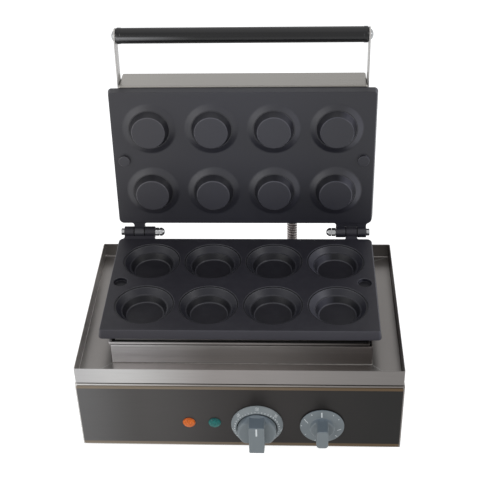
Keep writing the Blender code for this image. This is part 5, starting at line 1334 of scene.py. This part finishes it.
def make_hinge_gap_shade(label, side):
    """Thin black rings at both ends of the middle barrel that stand in for the shade in the gaps, each a square
    ring turned round the bolt.
    """
    (_, _, beyond), (owner, outer, inner), _ = STACKS[side]
    shape = Shape()
    for start, stop in ((inner - GAP, inner + BARREL_TRIM), (outer - BARREL_TRIM, beyond)):
        thick = stop - start - 2 * WASHER_SLIP
        face = [(BARREL_HOLE, 0), (WASHER_RADIUS, 0), (WASHER_RADIUS, thick), (BARREL_HOLE, thick)]
        shape.join(hinge_ring(side, start + WASHER_SLIP, face + face[:1]))
    make_piece(f"hinge_gap_shade_{label}", shape, SEAL_AND_GAP_SHADE, body={"upper": "lid", "lower": "base"}[owner])


def hexagon(radius, limit):
    """A hexagon drawn in towards a circle: each point's radius is the lesser of the two."""
    angle = full_turn(NUT_STEPS)
    flat = math.cos(math.pi / 6) / np.cos(angle % (math.pi / 3) - math.pi / 6)
    return np.minimum(np.minimum(flat, 1) * radius, limit)[:, None] * unit(angle)


def hexagon_rings(radius, top, chamfer, way=1):
    """A nut's hexagon from its seat to its top, with both ends chamfered."""
    tight, wide = radius * math.cos(math.pi / 6) * 1.02, radius * 1.01
    levels = ((0, tight), (chamfer, wide), (top - chamfer, wide), (top, tight))
    return [lift(hexagon(radius, limit), way * height) for height, limit in levels]


def make_hex(node, side, domed):
    """A nut across the machine: a chamfered hexagon and, on a cap nut, its collar and dome.

    Heights grow inwards from the outer face, since the dome points to the middle of the machine.
    """
    near, far = near_far(span(node))
    top = CAP_HEX if domed else far - near
    rows = hexagon_rings(NUT_RADIUS, top, 0.0006, -1)
    if domed:
        rows += circles(dome_line(CAP_DOME, top + near - far, -top, steps=9), NUT_STEPS)
    make_piece(f"{node}_bright", Shape().rings(rows, ENDS).moved(beside_of(side, far)), CHROME, [node])


def hose_route(steps=500):
    """Straight out of each gland with a smooth cubic between: points, and the distance to each along it."""
    start = np.array([HOSE_X, span("conduit_gland_base")[1][1] + GAP, HOSE_START_Z])
    mouth = np.array([HOSE_X, span("conduit_gland_lid", True)[1][1] + GAP, UPPER_BACK + HOSE_RISE])
    ends = opened([mouth, mouth + (0, HOSE_STRAIGHT, 0)])
    out = (ends[1] - ends[0]) / HOSE_STRAIGHT
    first = start + (0, HOSE_STRAIGHT, 0)
    pulls = (first + (0, HOSE_BASE_PULL, 0), ends[1] + out * HOSE_LID_PULL)
    t = np.linspace(0, 1, steps)[:, None]
    curve = first * (1 - t) ** 3 + pulls[0] * 3 * t * (1 - t) ** 2
    curve += pulls[1] * 3 * t * t * (1 - t) + ends[1] * t**3
    points = np.concatenate([[start], curve, [ends[0]]])
    return points, np.concatenate([[0], np.cumsum(np.linalg.norm(np.diff(points, axis=0), axis=1))])


def mark_ribs(piece, centre):
    """Store each point's height on its rib, by its distance to the centre line: 0 in grooves, 1 on crests."""
    away = mesh_points(piece.data)[:, None] - centre[None, ::4].astype(np.float32)
    gaps = np.linalg.norm(away, axis=2).min(axis=1)
    store_share(piece, "rib share", np.clip((gaps - HOSE_RADIUS + HOSE_RIB) / HOSE_RIB, 0, 1))


def make_hose():
    """The hose: a ring carried along its route, whose radius follows a helix of round ribs."""
    points, along = hose_route()
    distance = np.linspace(0, along[-1], int(along[-1] / HOSE_PITCH * 12))
    centre = np.stack([np.interp(distance, along, points[:, axis]) for axis in range(3)], axis=1)
    ahead = np.gradient(centre, axis=0)
    ahead /= np.linalg.norm(ahead, axis=1)[:, None]
    side = np.array([1.0, 0, 0])
    up = np.cross(ahead, side)
    angle = full_turn(HOSE_STEPS)
    phase = distance[:, None] / HOSE_PITCH * 2 * math.pi + angle[None]
    rib = HOSE_RADIUS - HOSE_RIB * (0.5 - 0.5 * np.cos(phase)) ** HOSE_RIB_POWER
    round_about = np.cos(angle)[None, :, None] * side + np.sin(angle)[None, :, None] * up[:, None]
    outside = centre[:, None] + rib[:, :, None] * round_about
    inside = centre[::4, None] + HOSE_BORE * round_about[::4]
    shape = Shape()
    for rows in (outside, inside, [outside[0], inside[0]], [outside[-1], inside[-1]]):
        shape.rings(rows)
    hose = make_piece("conduit_hose", shape, HOSE, ["conduit"], body="", weighted=False, sharp=80)
    mark_ribs(hose, centre)
    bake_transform(hose)


def make_gland(node, lid):
    """A hexagon and a collar outside the wall and a stub through it, bored for the leads."""
    box = span(node, lid)
    middle = box.mean(axis=0)
    seat = (COVER if lid else BASE)[1][1] + GAP
    rows = circles(((HOSE_BORE, GLAND_STUB_END), (GLAND_STUB, GLAND_STUB_END), (GLAND_STUB, 0)), NUT_STEPS)
    rows += hexagon_rings(GLAND_RADIUS, GLAND_HEX, 0.0008)
    collar = arcs([(GLAND_COLLAR, GLAND_HEX), (GLAND_COLLAR, GLAND_END, 0.0012), (HOSE_BORE, GLAND_END)], 5)
    shape = Shape().rings(rows + circles(collar, NUT_STEPS), closed=True)
    shape.moved(lambda points: np.stack(
        [middle[0] - points[:, 0], seat + points[:, 2], middle[2] + points[:, 1]], axis=1))
    make_piece(f"{node}_bright", shape.moved(opened) if lid else shape, CHROME, [node])


def make_foot(node):
    """A rubber foot: a drafted round block with rounded rims and a screw's hollow below."""
    box = span(node)
    top, height = (box[1][0] - box[0][0]) / 2, box[1][2]
    profile = arcs([
        (0, height), (top, height, 0.0006), (FOOT_TREAD, 0, 0.0012), (FOOT_HOLLOW, 0, 0.0004),
        (FOOT_HOLLOW, FOOT_HOLLOW_DEPTH, 0.0003), (0, FOOT_HOLLOW_DEPTH),
    ], 4)
    make_piece(f"{node}_rubber", Shape().turned(profile, FOOT_STEPS, box.mean(axis=0)), RUBBER, [node])


def finish_nodes():
    """Give the CAD nodes that keep their own mesh their materials."""
    plans = {
        STEEL_SHELL: "base_shell",
        GRAPHITE: "front_panel",
        RUBBER: "cord_gland",
        ZINC: "bottom_plate lower_element upper_element lower_reflector upper_reflector timer_body",
        CHROME: "sensor_bulb grip_rod temp_shaft timer_shaft",
        CERAMIC: "terminal_block thermostat_body lamp_body_orange lamp_body_green",
    }
    for finish, nodes in plans.items():
        for node in nodes.split():
            mesh = frame["nodes"][node].data
            mesh.materials.clear()
            mesh.materials.append(finish.material)


# Studio


def make_world():
    """A soft pale surround, which the camera, metal and glass see as white."""
    world = bpy.data.worlds.new("studio")
    bpy.context.scene.world = world
    world.use_nodes = True
    world.node_tree.nodes.clear()
    wiring = Wiring(world.node_tree)
    lights = wiring.node("Background", {"Color": SURROUND, "Strength": SURROUND_STRENGTH})[0]
    white = wiring.node("Background", {"Color": "ffffff", "Strength": 1.0})[0]
    mixed = wiring.node("MixShader", {0: wiring.seen(), 1: lights, 2: white})[0]
    wiring.node("OutputWorld", {"Surface": mixed})


def make_floor():
    """A wide pale floor that keeps the object's shadow, with a glow that the camera sees as white."""
    mesh = bpy.data.meshes.new("floor")
    corners = [(x * FLOOR_HALF, y * FLOOR_HALF, 0) for x, y in ((-1, -1), (1, -1), (1, 1), (-1, 1))]
    mesh.from_pydata(corners, [], [(0, 1, 2, 3)])
    floor = bpy.data.objects.new("floor", mesh)
    bpy.context.scene.collection.objects.link(floor)
    finish = Finish("pale floor", "", Base_Color=(0.8, 0.8, 0.8, 1), Roughness=0.9, Specular_IOR_Level=0)
    strength = finish.math("MULTIPLY", finish.seen(), FLOOR_GLOW)
    glow = finish.node("Emission", {"Color": "ffffff", "Strength": strength})[0]
    total = finish.node("AddShader", {0: finish.shader.outputs[0], 1: glow})[0]
    finish.connect(total, finish.tree.nodes["Material Output"].inputs["Surface"])
    mesh.materials.append(finish.material)


SIDES = (("left", -1), ("right", 1))

bpy.context.scene.view_settings.view_transform = "Standard"
place_camera()
make_world()
make_floor()
for name, settings in LAMPS.items():
    place_lamp(name, *settings)

make_lower_plate()
make_upper_plate()
make_tray()
make_seams()
make_neck()
make_neck_seals()
make_neck_weld()
make_cover()
for label, side in SIDES:
    make_arm(label, side)
make_grip()
for number, side in enumerate((-1, -1, 1, 1), 1):
    make_dome(f"arm_screw_{number}", side, *ARM_SCREW)
for label, side in SIDES:
    make_dome(f"grip_screw_{label}", side, *GRIP_SCREW)
make_temp_knob()
make_scale_ring()
make_scale_marks()
make_timer_knob()
make_lamp_lens("orange", ORANGE)
make_lamp_lens("green", GREEN)
for label, side in SIDES:
    make_bolt(label, side)
    make_hinge_gap_shade(label, side)
    make_hex(f"hinge_nut_{label}", side, False)
    make_hex(f"cap_nut_{label}", side, True)
make_hose()
make_gland("conduit_gland_base", False)
make_gland("conduit_gland_lid", True)
for number in range(1, 5):
    make_foot(f"foot_{number}")
finish_nodes()
